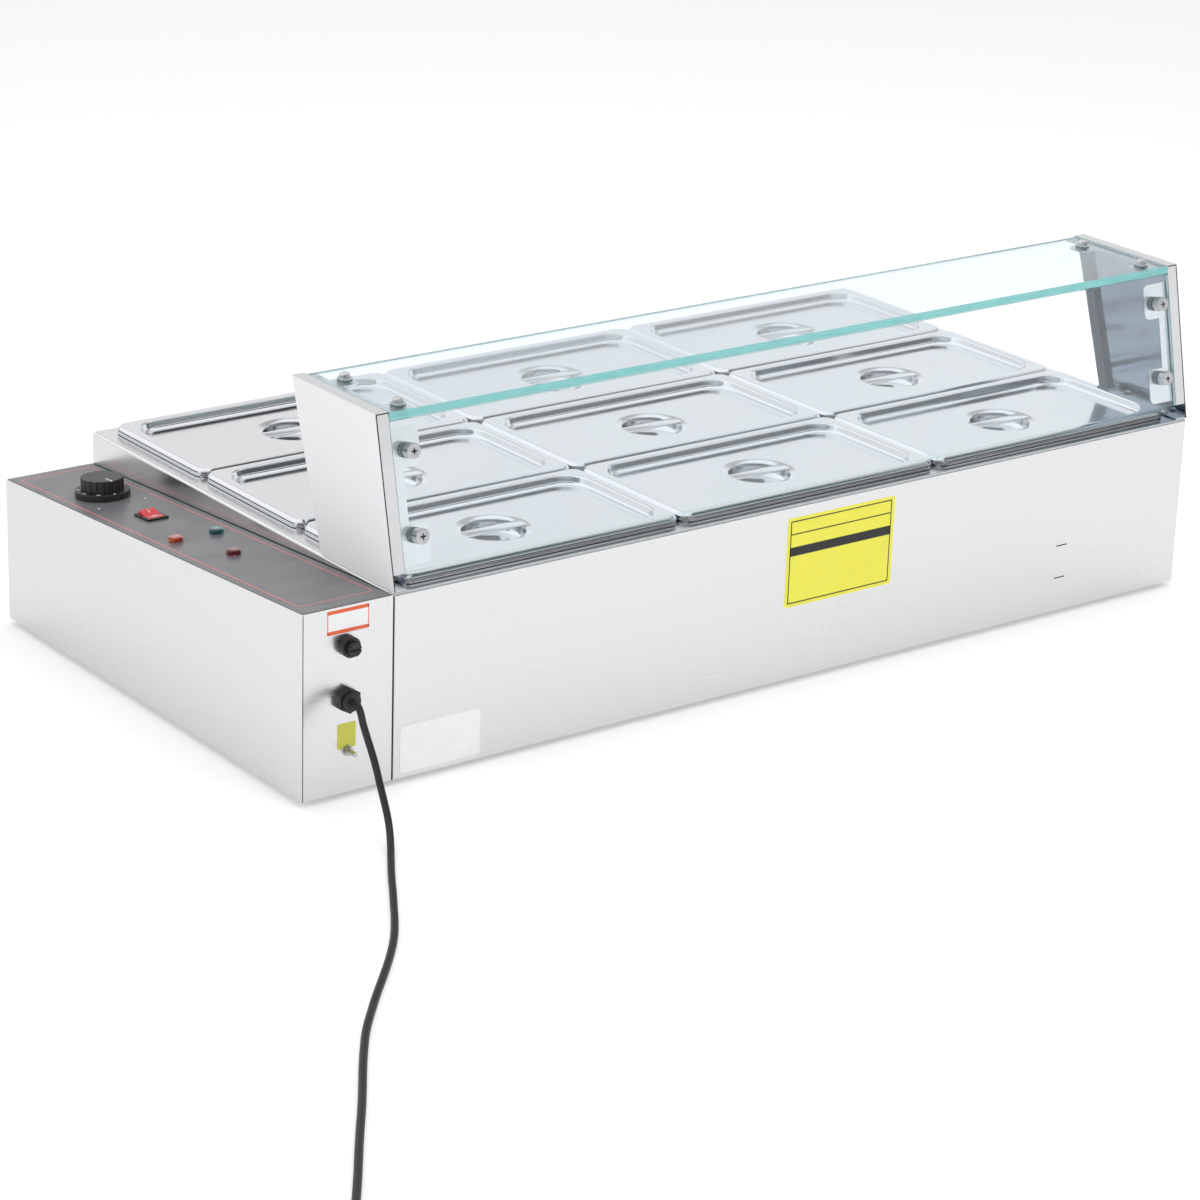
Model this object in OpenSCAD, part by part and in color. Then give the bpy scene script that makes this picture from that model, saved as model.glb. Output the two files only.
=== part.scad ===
/* [Body] */
// Width of the body's top beside the pans at each end
deck_end_w = 16; // [14.5:0.5:40]
// Width of the body's top in front of the pans and behind them
deck_side_w = 12.4; // [10.9:0.5:30]
// Height of the body
body_h = 184; // [150:1:240]
// Sheet thickness of the body and the guard panels
sheet_t = 1.5; // [1.2:0.1:2]
// Radius of the folded outer edges
edge_r = 3; // [2:0.5:5]
// Height of the upturned rim of the tank base
base_rim_h = 22; // [12:1:40]
// Height of the rubber feet
foot_h = 6; // [4:0.5:15]
// Radius of the rubber feet
foot_r = 15; // [10:1:20]
// Distance of the feet from the body's sides
foot_inset = 45; // [30:1:80]

/* [Pans] */
// Length of a pan's flange
pan_l = 325; // [322:1:326]
// Width of a pan's flange
pan_w = 176; // [173:1:177]
// Depth of a pan
pan_depth = 100; // [60:5:120]
// Sheet thickness of pans and lids
pan_t = 1; // [0.8:0.1:1.2]
// Width of a pan's flange on each side
flange_w = 10.5; // [9:0.5:12]
// Height of the turned-down edge of a pan's flange
flange_h = 3; // [2.5:0.5:4]
// Gap between neighbouring pans along the body
pan_gap_x = 2; // [1.5:0.1:3]
// Gap between neighbouring pans across the body
pan_gap_y = 2.4; // [1.8:0.1:3]
// Inward draft of a pan's walls, as a share of their depth
pan_draft_share = 0.11; // [0.09:0.01:0.14]
// Width of the bars that carry the pans
bar_w = 7; // [6:0.5:8]
// Height of the bars that carry the pans
bar_h = 14; // [8:1:20]

/* [Lids] */
// Height of a lid's rounded rim
lid_rim_h = 6; // [5:0.5:8]
// Depth of a lid's sunken field below its rim
field_drop = 8.5; // [7:0.5:10]
// Distance of the sunken field from a lid's edge
field_inset = 13.5; // [13.5:0.5:18]
// Radius of a lid's outer corners
lid_corner_r = 14; // [10:1:18]
// Radius of the handle cup
cup_r = 31; // [28:0.5:36]
// Depth of the handle cup
cup_depth = 14; // [11:0.5:18]
// Width of the handle strap
strap_w = 16; // [12:1:22]

/* [Guard] */
// Height of the guard's top above the body
guard_h = 162; // [150:1:200]
// Lean of the guard's front, in degrees
front_lean = 12; // [8:0.5:12]
// Lean of the guard's back edge, in degrees
back_lean = 18; // [14:0.5:20]
// Depth of a side panel at its foot
panel_foot_d = 124; // [110:1:140]
// Width of the strip that shows beside the glass
strip_w = 14; // [12:1:16]
// Width of the flange behind the glass
flange_reach = 26; // [22:1:30]
// Width of the screw tabs behind the glass
tab_reach = 46; // [42:1:50]
// Thickness of the top glass
top_glass_t = 8; // [6:1:8]
// Thickness of the front glass
front_glass_t = 6; // [5:1:8]
// Gap between the body's top and the front glass
serving_gap = 16; // [14:1:24]
// Radius of the front glass studs
stud_r = 7.5; // [6:0.5:9]
// Length of the front glass studs in front of the glass
stud_l = 9; // [6:0.5:12]

/* [Control box] */
// Width of the control box
box_w = 99; // [96:1:130]
// Height of the control box at its back
box_back_h = 150; // [135:1:180]
// Radius of the knob's skirt
knob_r = 27.5; // [24:0.5:32]
// Radius of the knob's grip
grip_r = 21.5; // [17:0.5:23]
// Height of the knob
knob_h = 18.5; // [15:0.5:24]
// Radius of the indicator lamps
lamp_r = 7.2; // [6:0.1:9]
// Length of the rocker switch's bezel
rocker_l = 28; // [28:0.5:32]
// Width of the rocker switch's bezel
rocker_w = 23; // [20:0.5:26]
// Swing of the rocker between off and on, in degrees
rocker_swing = 22; // [16:1:26]
// Diameter of the supply cord
cord_d = 7; // [6:0.5:8]

/* [Hidden] */
$fn = 64;

ROWS = ["front", "middle", "back"];
COLUMNS = ["left", "centre", "right"];
// Overrun of every cut, a thin slab for lofts, and small running clearances
over = 1;
hair = 0.02;
fit = 0.3;
slip = 0.05;
// Facets of a lofted outline
loft_fn = 32;

// Pan and lid grid
pitch_x = pan_l + pan_gap_x;
pitch_y = pan_w + pan_gap_y;
body_l = len(COLUMNS) * pitch_x + 2 * deck_end_w;
body_d = len(ROWS) * pitch_y + 2 * deck_side_w;
bearing_w = 6;
lip_h = 12;
open_x = deck_end_w + bearing_w;
open_y = deck_side_w + bearing_w;
pan_corner_r = 14;
pan_floor_bevel = 9;
pan_floor_rise = 10;
flange_top = body_h + flange_h;
field_r = 28;
shoulder_r = 7.5;
floor_fillet_r = 3;
strap_t = 1.2;
strap_crown_r = 40;
arc_steps = 6;

// Heaters and thermostat bulb
element_r = 4.25;
element_z = 26;
element_leg_gap = 62;
element_end_gap = 143;
element_reach = body_l - element_end_gap;
element_tail = 20;
element_y_shares = [0.24, 0.5, 0.76];
union_shank_r = 7;
union_hex_r = 11;
union_head_t = 6;
saddle_w = 14;
saddle_t = 2;
saddle_end_gap = 233;
saddle_x = body_l - saddle_end_gap;
bulb_r = 3;
bulb_l = 95;
bulb_back_gap = 82;
bulb_y = body_d - bulb_back_gap;
bulb_z = 50;
capillary_r = 1.2;

// Guard
guard_top = body_h + guard_h;
panel_lift = 0.5;
panel_front_y = 0.7;
foot_flange_w = 13;
back_flange_w = 12;
washer_t = 1;
washer_r = 7.5;
guard_hole_r = 3;
glass_hole_r = 4;
bolt_r = 2.5;
nut_r = 4.4;
nut_t = 2.6;
tab_h = 37;
tab_round = 7;
bracket_low_gap = 5;
bracket_high_gap = 17;
stud_in = 32;
stud_low_s = 48;
stud_high_s = 127;
top_tab_w = 24;
top_bracket_in = 5;
top_screw_in = 36;
top_screw_front = 17;
top_screw_back = 106;
top_cap_r = 5.2;
top_cap_h = 5;
glass_gap = 0.4;
top_glass_back_gap = 5;
cross_l = 6;
cross_w = 1.4;
cross_depth = 2.5;
foot_screw_head_r = 4.4;
foot_screw_head_h = 2.6;
foot_screw_y_front = 26;
foot_screw_y_back = 98;
foot_screw_l = 8;
guard_run = guard_top - body_h - panel_lift;
lean_len = guard_run / cos(front_lean);
panel_top_front = panel_front_y + guard_run * tan(front_lean);
panel_top_back = panel_foot_d + guard_run * tan(back_lean);
bracket_depth = washer_t + front_glass_t;
top_glass_front = panel_front_y + (guard_run - top_glass_t) * tan(front_lean);
top_bracket_z = guard_top - top_glass_t - washer_t - sheet_t;

// Control box
gasket_t = 1.5;
overlay_t = 0.6;
overlay_edge = 1.5;
panel_slope = atan((body_h - box_back_h) / body_d);
box_mid = -(box_w + gasket_t) / 2;
return_w = 12;
cover_t = 1.2;
cover_lift = 1;
flange_in = 10;
knob_back_gap = 112;
switch_back_gap = 208;
lamp_back_gap = 293;
lamp_front_gap = 362;
knob_y = body_d - knob_back_gap;
switch_y = body_d - switch_back_gap;
lamp_y_back = body_d - lamp_back_gap;
lamp_y_front = body_d - lamp_front_gap;
lamp_side = 22.5;
spindle_r = 3;
skirt_h = 6;
grip_flutes = 18;
flute_r = 2.2;
pointer_w = 2.4;
pointer_depth = 0.8;
hub_r = 6;
panel_gap = 0.8;
thermostat_l = 44;
thermostat_w = 38;
thermostat_h = 30;
bush_r = 5;
lamp_body_r = 5.5;
lamp_body_l = 24;
lamp_h = 5;
lamp_flange_t = 1.5;
lamp_round = 2;
bezel_h = 2.2;
bezel_edge = 1.5;
switch_wall = 1.2;
switch_body_h = 20;
switch_w = rocker_w - 2 * bezel_edge;
switch_l = rocker_l - 2 * bezel_edge;
rocker_r = switch_l / 2 - switch_wall - fit;
rocker_top = 3.2;
rocker_tilt = 11;
fuse_flange_r = 10;
fuse_flange_l = 8;
fuse_body_r = 7;
fuse_body_l = 34;
fuse_cap_r = 6.3;
fuse_reach = 15;
fuse_slot_w = 1.4;
fuse_slot_depth = 1.6;
fuse_link_r = 2.5;
fuse_link_l = 20;
gland_x = -52;
gland_z = 93;
fuse_z_share = 4 / 7;
fuse_z = gland_z + fuse_z_share * (body_h - gland_z);
gland_hex_r = 12.5;
gland_hex_l = 8;
gland_dome_r = 9.5;
gland_dome_l = 5;
gland_thread_r = 8;
gland_thread_l = 10;
lock_nut_wall = 3;
lock_nut_t = 4;
fuse_x = -51;
earth_z = 41.5;
earth_x = -50;
earth_r = 2.5;
earth_l = 14;
earth_nut_r = 4.6;
earth_nut_t = 4;
earth_washer_r = 5.5;
earth_washer_t = 1;
block_l = 60;
block_w = 22;
block_h = 16;
block_y = 60;
block_ways = 5;
block_screw_r = 2;
base_screw_r = 2;
base_screw_head_r = 3.8;
base_screw_head_t = 0.9;
base_screw_l = 8;
base_screw_shares = [0.06, 0.94];

// Supply cord: points of the lead's centre line from the gland to the coil, and of the tail from
// the coil to the plug
lead_points = [
  [-52, -13, 93], [-52.5, -21, 92.5], [-55, -29.5, 89.5], [-58, -38, 83], [-60, -47, 75], [-61.5, -57, 64.5],
  [-63, -67, 52.5], [-65, -77, 39.5], [-67, -87, 27], [-70, -98, 15], [-75, -109, 6], [-82, -121, 0],
  [-91, -135, -2.5], [-102, -152, -2.5], [-116, -174, -2.5], [-130, -197, -2.5], [-145, -221, -2.5],
  [-162, -248, -2.5], [-180, -274, -2.5], [-201, -300, -2.5], [-225, -327, -2.5], [-249, -353, -2.5],
  [-272, -379, -2.5], [-293, -404, -2.5], [-312, -430, -2.5], [-330, -456, -2.5], [-348, -483, -2.5],
  [-367, -511, -2.5], [-386, -538, -2.5], [-404, -564, -2.5], [-421, -589, -2.5], [-437, -612, -2.5],
  [-451, -632, -2.2], [-464, -652, -1.8], [-471, -665, -1.5], [-475, -678, -1.5], [-476, -689, -1.5],
  [-476, -695, -1.5]
];
tail_points = [
  [-476, -709, 6.8], [-476, -715, 6.6], [-475, -724, 4.8], [-473, -734, 1.8], [-470, -745, -1.2],
  [-467, -757, -2.4], [-464, -769, -1.8], [-461.5, -781, 1], [-460, -793, 5.6], [-459.5, -805, 10],
  [-459.5, -816, 12], [-459.5, -824, 12]
];
cord_sides = 8;

// Coil: loops in each of two layers, wound in and out again
coil_loops = 1.75;
coil_gap = 1.6;
layer_gap = 1.3;
coil_pitch = cord_d + coil_gap;
coil_rise = cord_d + layer_gap;
coil_steps = 24;
coil_outer_r = 44;
coil_start = lead_points[len(lead_points) - 1];
coil_centre = coil_start - [coil_outer_r, cord_d, 0];
coil_inner_r = coil_outer_r - coil_pitch * coil_loops;

// Plug on the floor beside the coil, and the tie round the coil's far side
plug_r = 18;
plug_l = 34;
plug_round = 5;
plug_neck_l = 26;
plug_neck_r = 8;
plug_neck_tip_r = 5;
pin_r = 2.4;
pin_l = 19;
pin_gap = 19;
pin_round = 1.5;
tie_w = 10;
tie_t = 1;

function arc(cx, cy, r, a0, a1, n = arc_steps) =
  [for (i = [0:n]) let(a = a0 + (a1 - a0) * i / n) [cx + r * cos(a), cy + r * sin(a)]];
function unit(v) = v / norm(v);

// Rectangle with round corners, its corner at the origin
module rounded_rect(w, d, r) {
  translate([r, 0]) square([w - 2 * r, d]);
  translate([0, r]) square([w, d - 2 * r]);
  for (x = [r, w - r], y = [r, d - r]) translate([x, y]) circle(r);
}

// The same, drawn in from its outer size by an inset
module inset_rect(w, d, r, inset) {
  translate([inset, inset]) rounded_rect(w - 2 * inset, d - 2 * inset, r);
}

// Sweeps a profile round a rectangle with round corners; the profile's x is the corner radius less
// the distance from the edge
module edge_sweep(w, d, r) {
  corners = [[w - r, d - r, d - 2 * r], [r, d - r, w - 2 * r], [r, r, d - 2 * r], [w - r, r, w - 2 * r]];
  for (i = [0:3])
    translate([corners[i][0], corners[i][1], 0]) rotate([0, 0, 90 * i]) {
      rotate_extrude(angle = 90) children();
      rotate([90, 0, 0]) linear_extrude(corners[i][2]) children();
    }
}

// Box with its upright and upper edges rounded
module soft_box(l, d, h, r) {
  linear_extrude(h - r) rounded_rect(l, d, r);
  translate([r, r, 0]) cube([l - 2 * r, d - 2 * r, h]);
  for (y = [r, d - r]) translate([r, y, h - r]) rotate([0, 90, 0]) cylinder(r = r, h = l - 2 * r);
  for (x = [r, l - r]) translate([x, r, h - r]) rotate([-90, 0, 0]) cylinder(r = r, h = d - 2 * r);
  for (x = [r, l - r], y = [r, d - r]) translate([x, y, h - r]) sphere(r);
}

// Plate in the plane of depth and height, from x to x + t
module yz_plate(points, x, t) {
  translate([x, 0, 0]) rotate([90, 0, 90]) linear_extrude(t) polygon(points);
}

// Rod along a list of points, with round bends
module bent_rod(points, r) {
  for (i = [0:len(points) - 2]) {
    d = points[i + 1] - points[i];
    translate(points[i]) rotate([0, acos(d[2] / norm(d)), atan2(d[1], d[0])]) cylinder(r = r, h = norm(d));
  }
  for (i = [1:len(points) - 2]) translate(points[i]) sphere(r);
}

// Body, tank and what carries the pans
module body_casing() color([0.84, 0.85, 0.86]) {
  difference() {
    soft_box(body_l, body_d, body_h, edge_r);
    translate([sheet_t, sheet_t, -over])
      cube([body_l - 2 * sheet_t, body_d - 2 * sheet_t, body_h - sheet_t + over]);
    translate([open_x, open_y, 0]) cube([body_l - 2 * open_x, body_d - 2 * open_y, body_h + over]);
    for (y = element_legs()) translate([-over, y, element_z]) rotate([0, 90, 0])
      cylinder(r = union_shank_r, h = sheet_t + 2 * over);
    translate([-over, bulb_y, bulb_z]) rotate([0, 90, 0]) cylinder(r = bulb_r + slip, h = sheet_t + 2 * over);
    guard_foot_places() cylinder(r = bolt_r + slip, h = 2 * foot_screw_l, center = true);
  }
  translate([0, 0, body_h - lip_h]) linear_extrude(lip_h - sheet_t) difference() {
    translate([open_x - sheet_t, open_y - sheet_t])
      square([body_l - 2 * (open_x - sheet_t), body_d - 2 * (open_y - sheet_t)]);
    translate([open_x, open_y]) square([body_l - 2 * open_x, body_d - 2 * open_y]);
  }
}

module tank_base() color([0.74, 0.75, 0.77]) {
  inner_l = body_l - 2 * sheet_t;
  inner_d = body_d - 2 * sheet_t;
  difference() {
    translate([sheet_t, sheet_t, 0]) cube([inner_l, inner_d, base_rim_h]);
    translate([2 * sheet_t, 2 * sheet_t, sheet_t])
      cube([inner_l - 2 * sheet_t, inner_d - 2 * sheet_t, base_rim_h]);
    for (y = element_legs()) translate([-over, y, element_z]) rotate([0, 90, 0])
      cylinder(r = union_hex_r + fit, h = 3 * sheet_t + over);
  }
  for (y = element_legs()) translate([saddle_x, y - saddle_w / 2, sheet_t])
    difference() {
      cube([saddle_t, saddle_w, element_z]);
      translate([-over, saddle_w / 2, element_z - sheet_t]) rotate([0, 90, 0])
        cylinder(r = element_r + slip, h = saddle_t + 2 * over);
    }
}

module column_bars() color([0.72, 0.73, 0.75])
  for (i = [1:len(COLUMNS) - 1])
    translate([deck_end_w + i * pitch_x - bar_w / 2, open_y, body_h - bar_h]) difference() {
      cube([bar_w, body_d - 2 * open_y, bar_h]);
      translate([sheet_t, -over, -over])
        cube([bar_w - 2 * sheet_t, body_d - 2 * open_y + 2 * over, bar_h - sheet_t + over]);
    }

module row_bars() color([0.72, 0.73, 0.75])
  for (i = [0:len(COLUMNS) - 1], j = [1:len(ROWS) - 1]) {
    x0 = i == 0 ? open_x : deck_end_w + i * pitch_x + bar_w / 2;
    x1 = i == len(COLUMNS) - 1 ? body_l - open_x : deck_end_w + (i + 1) * pitch_x - bar_w / 2;
    translate([x0, deck_side_w + j * pitch_y - bar_w / 2, body_h - bar_h]) difference() {
      cube([x1 - x0, bar_w, bar_h]);
      translate([-over, sheet_t, -over])
        cube([x1 - x0 + 2 * over, bar_w - 2 * sheet_t, bar_h - sheet_t + over]);
    }
  }

module rubber_feet() color([0.12, 0.12, 0.12])
  for (x = [foot_inset, body_l - foot_inset], y = [foot_inset, body_d - foot_inset])
    translate([x, y, -foot_h]) cylinder(r = foot_r, h = foot_h);

function element_legs() = [for (s = element_y_shares, k = [-1, 1]) s * body_d + k * element_leg_gap / 2];

// Three hairpin elements through the wall beside the control box
module heating_elements() color([0.45, 0.46, 0.48])
  for (s = element_y_shares) translate([0, s * body_d, element_z]) {
    for (k = [-1, 1]) translate([-element_tail, k * element_leg_gap / 2, 0]) rotate([0, 90, 0])
      cylinder(r = element_r, h = element_reach + element_tail);
    translate([element_reach, 0, 0]) rotate([0, 0, -90])
      rotate_extrude(angle = 180) translate([element_leg_gap / 2, 0]) circle(element_r);
  }

module heater_unions() color([0.80, 0.66, 0.36])
  for (y = element_legs()) translate([0, y, element_z]) rotate([0, 90, 0]) difference() {
    union() {
      translate([0, 0, -union_head_t]) cylinder(r = union_hex_r, h = union_head_t, $fn = 6);
      translate([0, 0, -hair]) cylinder(r = union_shank_r, h = sheet_t + 2 * hair);
      translate([0, 0, sheet_t]) cylinder(r = union_hex_r, h = union_head_t, $fn = 6);
    }
    translate([0, 0, -union_head_t - over])
      cylinder(r = element_r + slip, h = 2 * union_head_t + sheet_t + 2 * over);
  }

// Bulb in the water, with its capillary to the thermostat
module thermostat_bulb() color([0.78, 0.52, 0.34]) {
  translate([-element_tail, bulb_y, bulb_z]) rotate([0, 90, 0])
    cylinder(r = bulb_r, h = element_tail + bulb_l);
  foot = on_panel_point(box_mid, knob_y, -overlay_t - sheet_t - thermostat_h);
  bent_rod([
    [-element_tail + bulb_r, bulb_y, bulb_z], [box_mid, bulb_y, bulb_z],
    [box_mid, foot[1] + thermostat_w / 4, bulb_z + element_tail],
    [box_mid, foot[1] + thermostat_w / 4, foot[2] + hair]
  ], capillary_r);
}

// Guard
module guard_foot_places()
  for (x = [sheet_t + foot_flange_w / 2, body_l - sheet_t - foot_flange_w / 2],
       y = [foot_screw_y_front, foot_screw_y_back])
    translate([x, y, body_h]) children();

// Frame of the leaning front: x along the body, y into the guard, z up the glass
module front_plane()
  translate([0, panel_front_y, body_h + panel_lift]) rotate([-front_lean, 0, 0]) children();

// Bracket behind the front glass: a strip with a wide tab at each end
module bracket_outline(run) {
  square([flange_reach, run]);
  for (z = [0, run - tab_h]) translate([0, z]) rounded_rect(tab_reach, tab_h, tab_round);
}

// Bracket below the top glass, with a tab at each screw
module top_bracket_outline() {
  square([flange_reach, panel_top_back - panel_top_front - top_bracket_in - sheet_t]);
  for (y = [top_screw_front, top_screw_back])
    translate([0, y - top_bracket_in - top_tab_w / 2]) rounded_rect(tab_reach, top_tab_w, tab_round);
}

module guard_panel() {
  bottom = body_h + panel_lift;
  difference() {
    union() {
      yz_plate([[panel_front_y, bottom], [panel_foot_d, bottom], [panel_top_back, guard_top],
                [panel_top_front, guard_top]], 0, sheet_t);
      front_plane() {
        translate([0, sheet_t, serving_gap]) rotate([90, 0, 0])
          linear_extrude(sheet_t) square([strip_w, lean_len - serving_gap - sheet_t]);
        translate([sheet_t / 2, bracket_depth + sheet_t, serving_gap + bracket_low_gap]) rotate([90, 0, 0])
          linear_extrude(sheet_t)
            bracket_outline(lean_len - bracket_high_gap - serving_gap - bracket_low_gap);
      }
      translate([0, panel_top_front, guard_top - sheet_t])
        cube([strip_w, panel_top_back - panel_top_front, sheet_t]);
      intersection() {
        translate([0, panel_foot_d, bottom]) rotate([-back_lean, 0, 0]) translate([0, -sheet_t, 0])
          cube([back_flange_w, sheet_t, 2 * guard_h]);
        translate([0, 0, bottom]) cube([back_flange_w, body_d, guard_run]);
      }
      translate([0, panel_front_y + sheet_t, body_h])
        cube([sheet_t + foot_flange_w, panel_foot_d - panel_front_y - 2 * sheet_t, sheet_t]);
      translate([sheet_t / 2, panel_top_front + top_bracket_in, top_bracket_z])
        linear_extrude(sheet_t) top_bracket_outline();
    }
    front_screw_places() translate([0, 0, -over]) cylinder(r = bolt_r + slip, h = sheet_t + 2 * over);
    top_screw_places() translate([0, 0, -over]) cylinder(r = guard_hole_r, h = sheet_t + 2 * over);
    for (y = [foot_screw_y_front, foot_screw_y_back])
      translate([sheet_t + foot_flange_w / 2, y, body_h - over])
        cylinder(r = bolt_r + slip, h = sheet_t + 2 * over);
  }
}

// Places of the left screws of each glass, with z along the screw and zero on the bracket's back
module front_screw_places()
  front_plane() for (s = [stud_low_s, stud_high_s])
    translate([stud_in, bracket_depth + sheet_t, s]) rotate([90, 0, 0]) children();

module top_screw_places()
  for (y = [top_screw_front, top_screw_back])
    translate([top_screw_in, panel_top_front + y, top_bracket_z]) children();

// Draws at both ends of the guard, the right one as a mirror image
module both_ends() {
  children();
  translate([body_l, 0, 0]) mirror([1, 0, 0]) children();
}

module guard_left_panel() color([0.80, 0.82, 0.84]) guard_panel();
module guard_right_panel() color([0.80, 0.82, 0.84])
  translate([body_l, 0, 0]) mirror([1, 0, 0]) guard_panel();

module top_glass() color([0.70, 0.86, 0.88, 0.5]) difference() {
  translate([strip_w + glass_gap, top_glass_front, guard_top - top_glass_t])
    cube([body_l - 2 * (strip_w + glass_gap), panel_top_back - top_glass_back_gap - top_glass_front,
          top_glass_t]);
  both_ends() top_screw_places() cylinder(r = glass_hole_r, h = guard_h);
}

module front_glass() color([0.70, 0.86, 0.88, 0.5]) difference() {
  glass_run = lean_len - (top_glass_t + washer_t) / cos(front_lean) - serving_gap;
  front_plane() translate([strip_w + glass_gap, 0, serving_gap])
    cube([body_l - 2 * (strip_w + glass_gap), front_glass_t, glass_run]);
  both_ends() front_screw_places() cylinder(r = glass_hole_r, h = guard_h);
}

module washer() difference() {
  cylinder(r = washer_r, h = washer_t);
  translate([0, 0, -over]) cylinder(r = guard_hole_r, h = washer_t + 2 * over);
}

module glass_washers() color([0.35, 0.42, 0.43]) both_ends() {
  front_screw_places() translate([0, 0, sheet_t]) washer();
  top_screw_places() for (z = [sheet_t, sheet_t + washer_t + top_glass_t]) translate([0, 0, z]) washer();
}

module top_glass_screws() color([0.82, 0.83, 0.85]) both_ends() top_screw_places() {
  head_z = sheet_t + 2 * washer_t + top_glass_t;
  translate([0, 0, head_z]) rotate_extrude()
    polygon(concat([[0, 0], [top_cap_r, 0]],
      arc(top_cap_r - top_cap_h / 2, top_cap_h / 2, top_cap_h / 2, 0, 90), [[0, top_cap_h]]));
  translate([0, 0, -nut_t]) cylinder(r = bolt_r, h = nut_t + head_z + hair);
  translate([0, 0, -nut_t]) cylinder(r = nut_r, h = nut_t, $fn = 6);
}

module front_glass_studs() color([0.82, 0.83, 0.85]) both_ends() front_screw_places() {
  head_z = sheet_t + bracket_depth;
  difference() {
    translate([0, 0, head_z]) rotate_extrude()
      polygon(concat([[0, 0], [stud_r, 0]], arc(stud_r - over, stud_l - over, over, 0, 90), [[0, stud_l]]));
    for (a = [0, 90]) rotate([0, 0, a]) translate([-cross_l / 2, -cross_w / 2, head_z + stud_l - cross_depth])
      cube([cross_l, cross_w, cross_depth + over]);
  }
  cylinder(r = bolt_r, h = head_z + hair);
}

module guard_foot_screws() color([0.70, 0.71, 0.73]) guard_foot_places() {
  translate([0, 0, sheet_t]) rotate_extrude()
    polygon(concat([[0, 0], [foot_screw_head_r, 0]],
      arc(foot_screw_head_r - foot_screw_head_h, 0, foot_screw_head_h, 0, 90), [[0, foot_screw_head_h]]));
  translate([0, 0, sheet_t - foot_screw_l]) cylinder(r = bolt_r, h = foot_screw_l + hair);
}

// Control box. Frame of the sloping panel: z out of the panel, zero on the housing's top sheet
module on_panel(x, y) translate([x, y, body_h - overlay_t - y * tan(panel_slope)])
  rotate([-panel_slope, 0, 0]) children();
function on_panel_point(x, y, z) =
  [x, y + z * sin(panel_slope), body_h - overlay_t - y * tan(panel_slope) + z * cos(panel_slope)];

// Height of the underside of the housing's sloping top
function housing_ceiling(y) = body_h - overlay_t - y * tan(panel_slope) - sheet_t / cos(panel_slope);

module box_gasket() color([0.08, 0.08, 0.09]) difference() {
  yz_plate([[0, 0], [body_d, 0], [body_d, box_back_h - overlay_t], [0, body_h - edge_r]],
           -gasket_t, gasket_t);
  yz_plate([[return_w, return_w], [body_d - return_w, return_w],
            [body_d - return_w, box_back_h - return_w], [return_w, body_h - edge_r - return_w]],
           -gasket_t - over, gasket_t + 2 * over);
}

module control_housing() color([0.86, 0.87, 0.88]) difference() {
  union() {
    difference() {
      yz_plate([[0, 0], [body_d, 0], [body_d, box_back_h - overlay_t], [0, body_h - overlay_t]],
               -box_w, box_w - gasket_t);
      yz_plate([[sheet_t, -over], [body_d - sheet_t, -over],
                [body_d - sheet_t, housing_ceiling(body_d - sheet_t)],
                [sheet_t, housing_ceiling(sheet_t)]], -box_w + sheet_t, box_w);
    }
    for (y = [sheet_t, body_d - return_w])
      translate([-gasket_t - sheet_t, y, 0]) cube([sheet_t, return_w - sheet_t, box_back_h - return_w]);
    for (y = [sheet_t, body_d - sheet_t - flange_in])
      translate([-box_w + sheet_t, y, cover_lift + cover_t])
        cube([box_w - 2 * sheet_t - gasket_t, flange_in, sheet_t]);
  }
  on_panel(box_mid, knob_y) cylinder(r = bush_r + slip, h = 4 * sheet_t, center = true);
  on_panel(box_mid, switch_y) cube([switch_w + fit, switch_l + fit, 4 * sheet_t], center = true);
  lamp_places() cylinder(r = lamp_body_r + slip, h = 4 * sheet_t, center = true);
  front_wall(fuse_x, fuse_z) cylinder(r = fuse_body_r + slip, h = 4 * sheet_t, center = true);
  front_wall(gland_x, gland_z) cylinder(r = gland_thread_r + slip, h = 4 * sheet_t, center = true);
  front_wall(earth_x, earth_z) cylinder(r = earth_r + slip, h = 4 * sheet_t, center = true);
  base_screw_places() cylinder(r = base_screw_r + slip, h = 2 * flange_in);
}

// Frame of the box's front face: z out towards the customer
module front_wall(x, z) translate([x, 0, z]) rotate([90, 0, 0]) children();

module lamp_places(which = [0, 1, 2]) {
  places = [[lamp_side, lamp_y_back], [-lamp_side, lamp_y_back], [0, lamp_y_front]];
  for (i = which) on_panel(box_mid + places[i][0], places[i][1]) children();
}

module base_screw_places()
  for (s = base_screw_shares, y = [sheet_t + flange_in / 2, body_d - sheet_t - flange_in / 2])
    translate([-box_w + sheet_t + s * (box_w - gasket_t - 2 * sheet_t), y, 0]) children();

module control_panel() color([0.42, 0.43, 0.44]) difference() {
  on_panel(0, 0) translate([-box_w + overlay_edge, overlay_edge, 0])
    cube([box_w - gasket_t - overlay_edge, body_d / cos(panel_slope) - 2 * overlay_edge, overlay_t]);
  on_panel(box_mid, knob_y) cylinder(r = bush_r + slip, h = 4 * sheet_t, center = true);
  on_panel(box_mid, switch_y) cube([switch_w + fit, switch_l + fit, 4 * sheet_t], center = true);
  lamp_places() cylinder(r = lamp_body_r + slip, h = 4 * sheet_t, center = true);
}

module housing_base() color([0.66, 0.67, 0.69]) difference() {
  translate([-box_w + sheet_t + fit, sheet_t + fit, cover_lift])
    cube([box_w - 2 * sheet_t - gasket_t - 2 * fit, body_d - 2 * sheet_t - 2 * fit, cover_t]);
  base_screw_places() cylinder(r = base_screw_r + slip, h = 2 * flange_in, center = true);
}

module housing_screws() color([0.60, 0.61, 0.63]) base_screw_places() {
  translate([0, 0, cover_lift - base_screw_head_t]) cylinder(r = base_screw_head_r, h = base_screw_head_t);
  translate([0, 0, cover_lift - hair]) cylinder(r = base_screw_r, h = base_screw_l);
}

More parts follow.
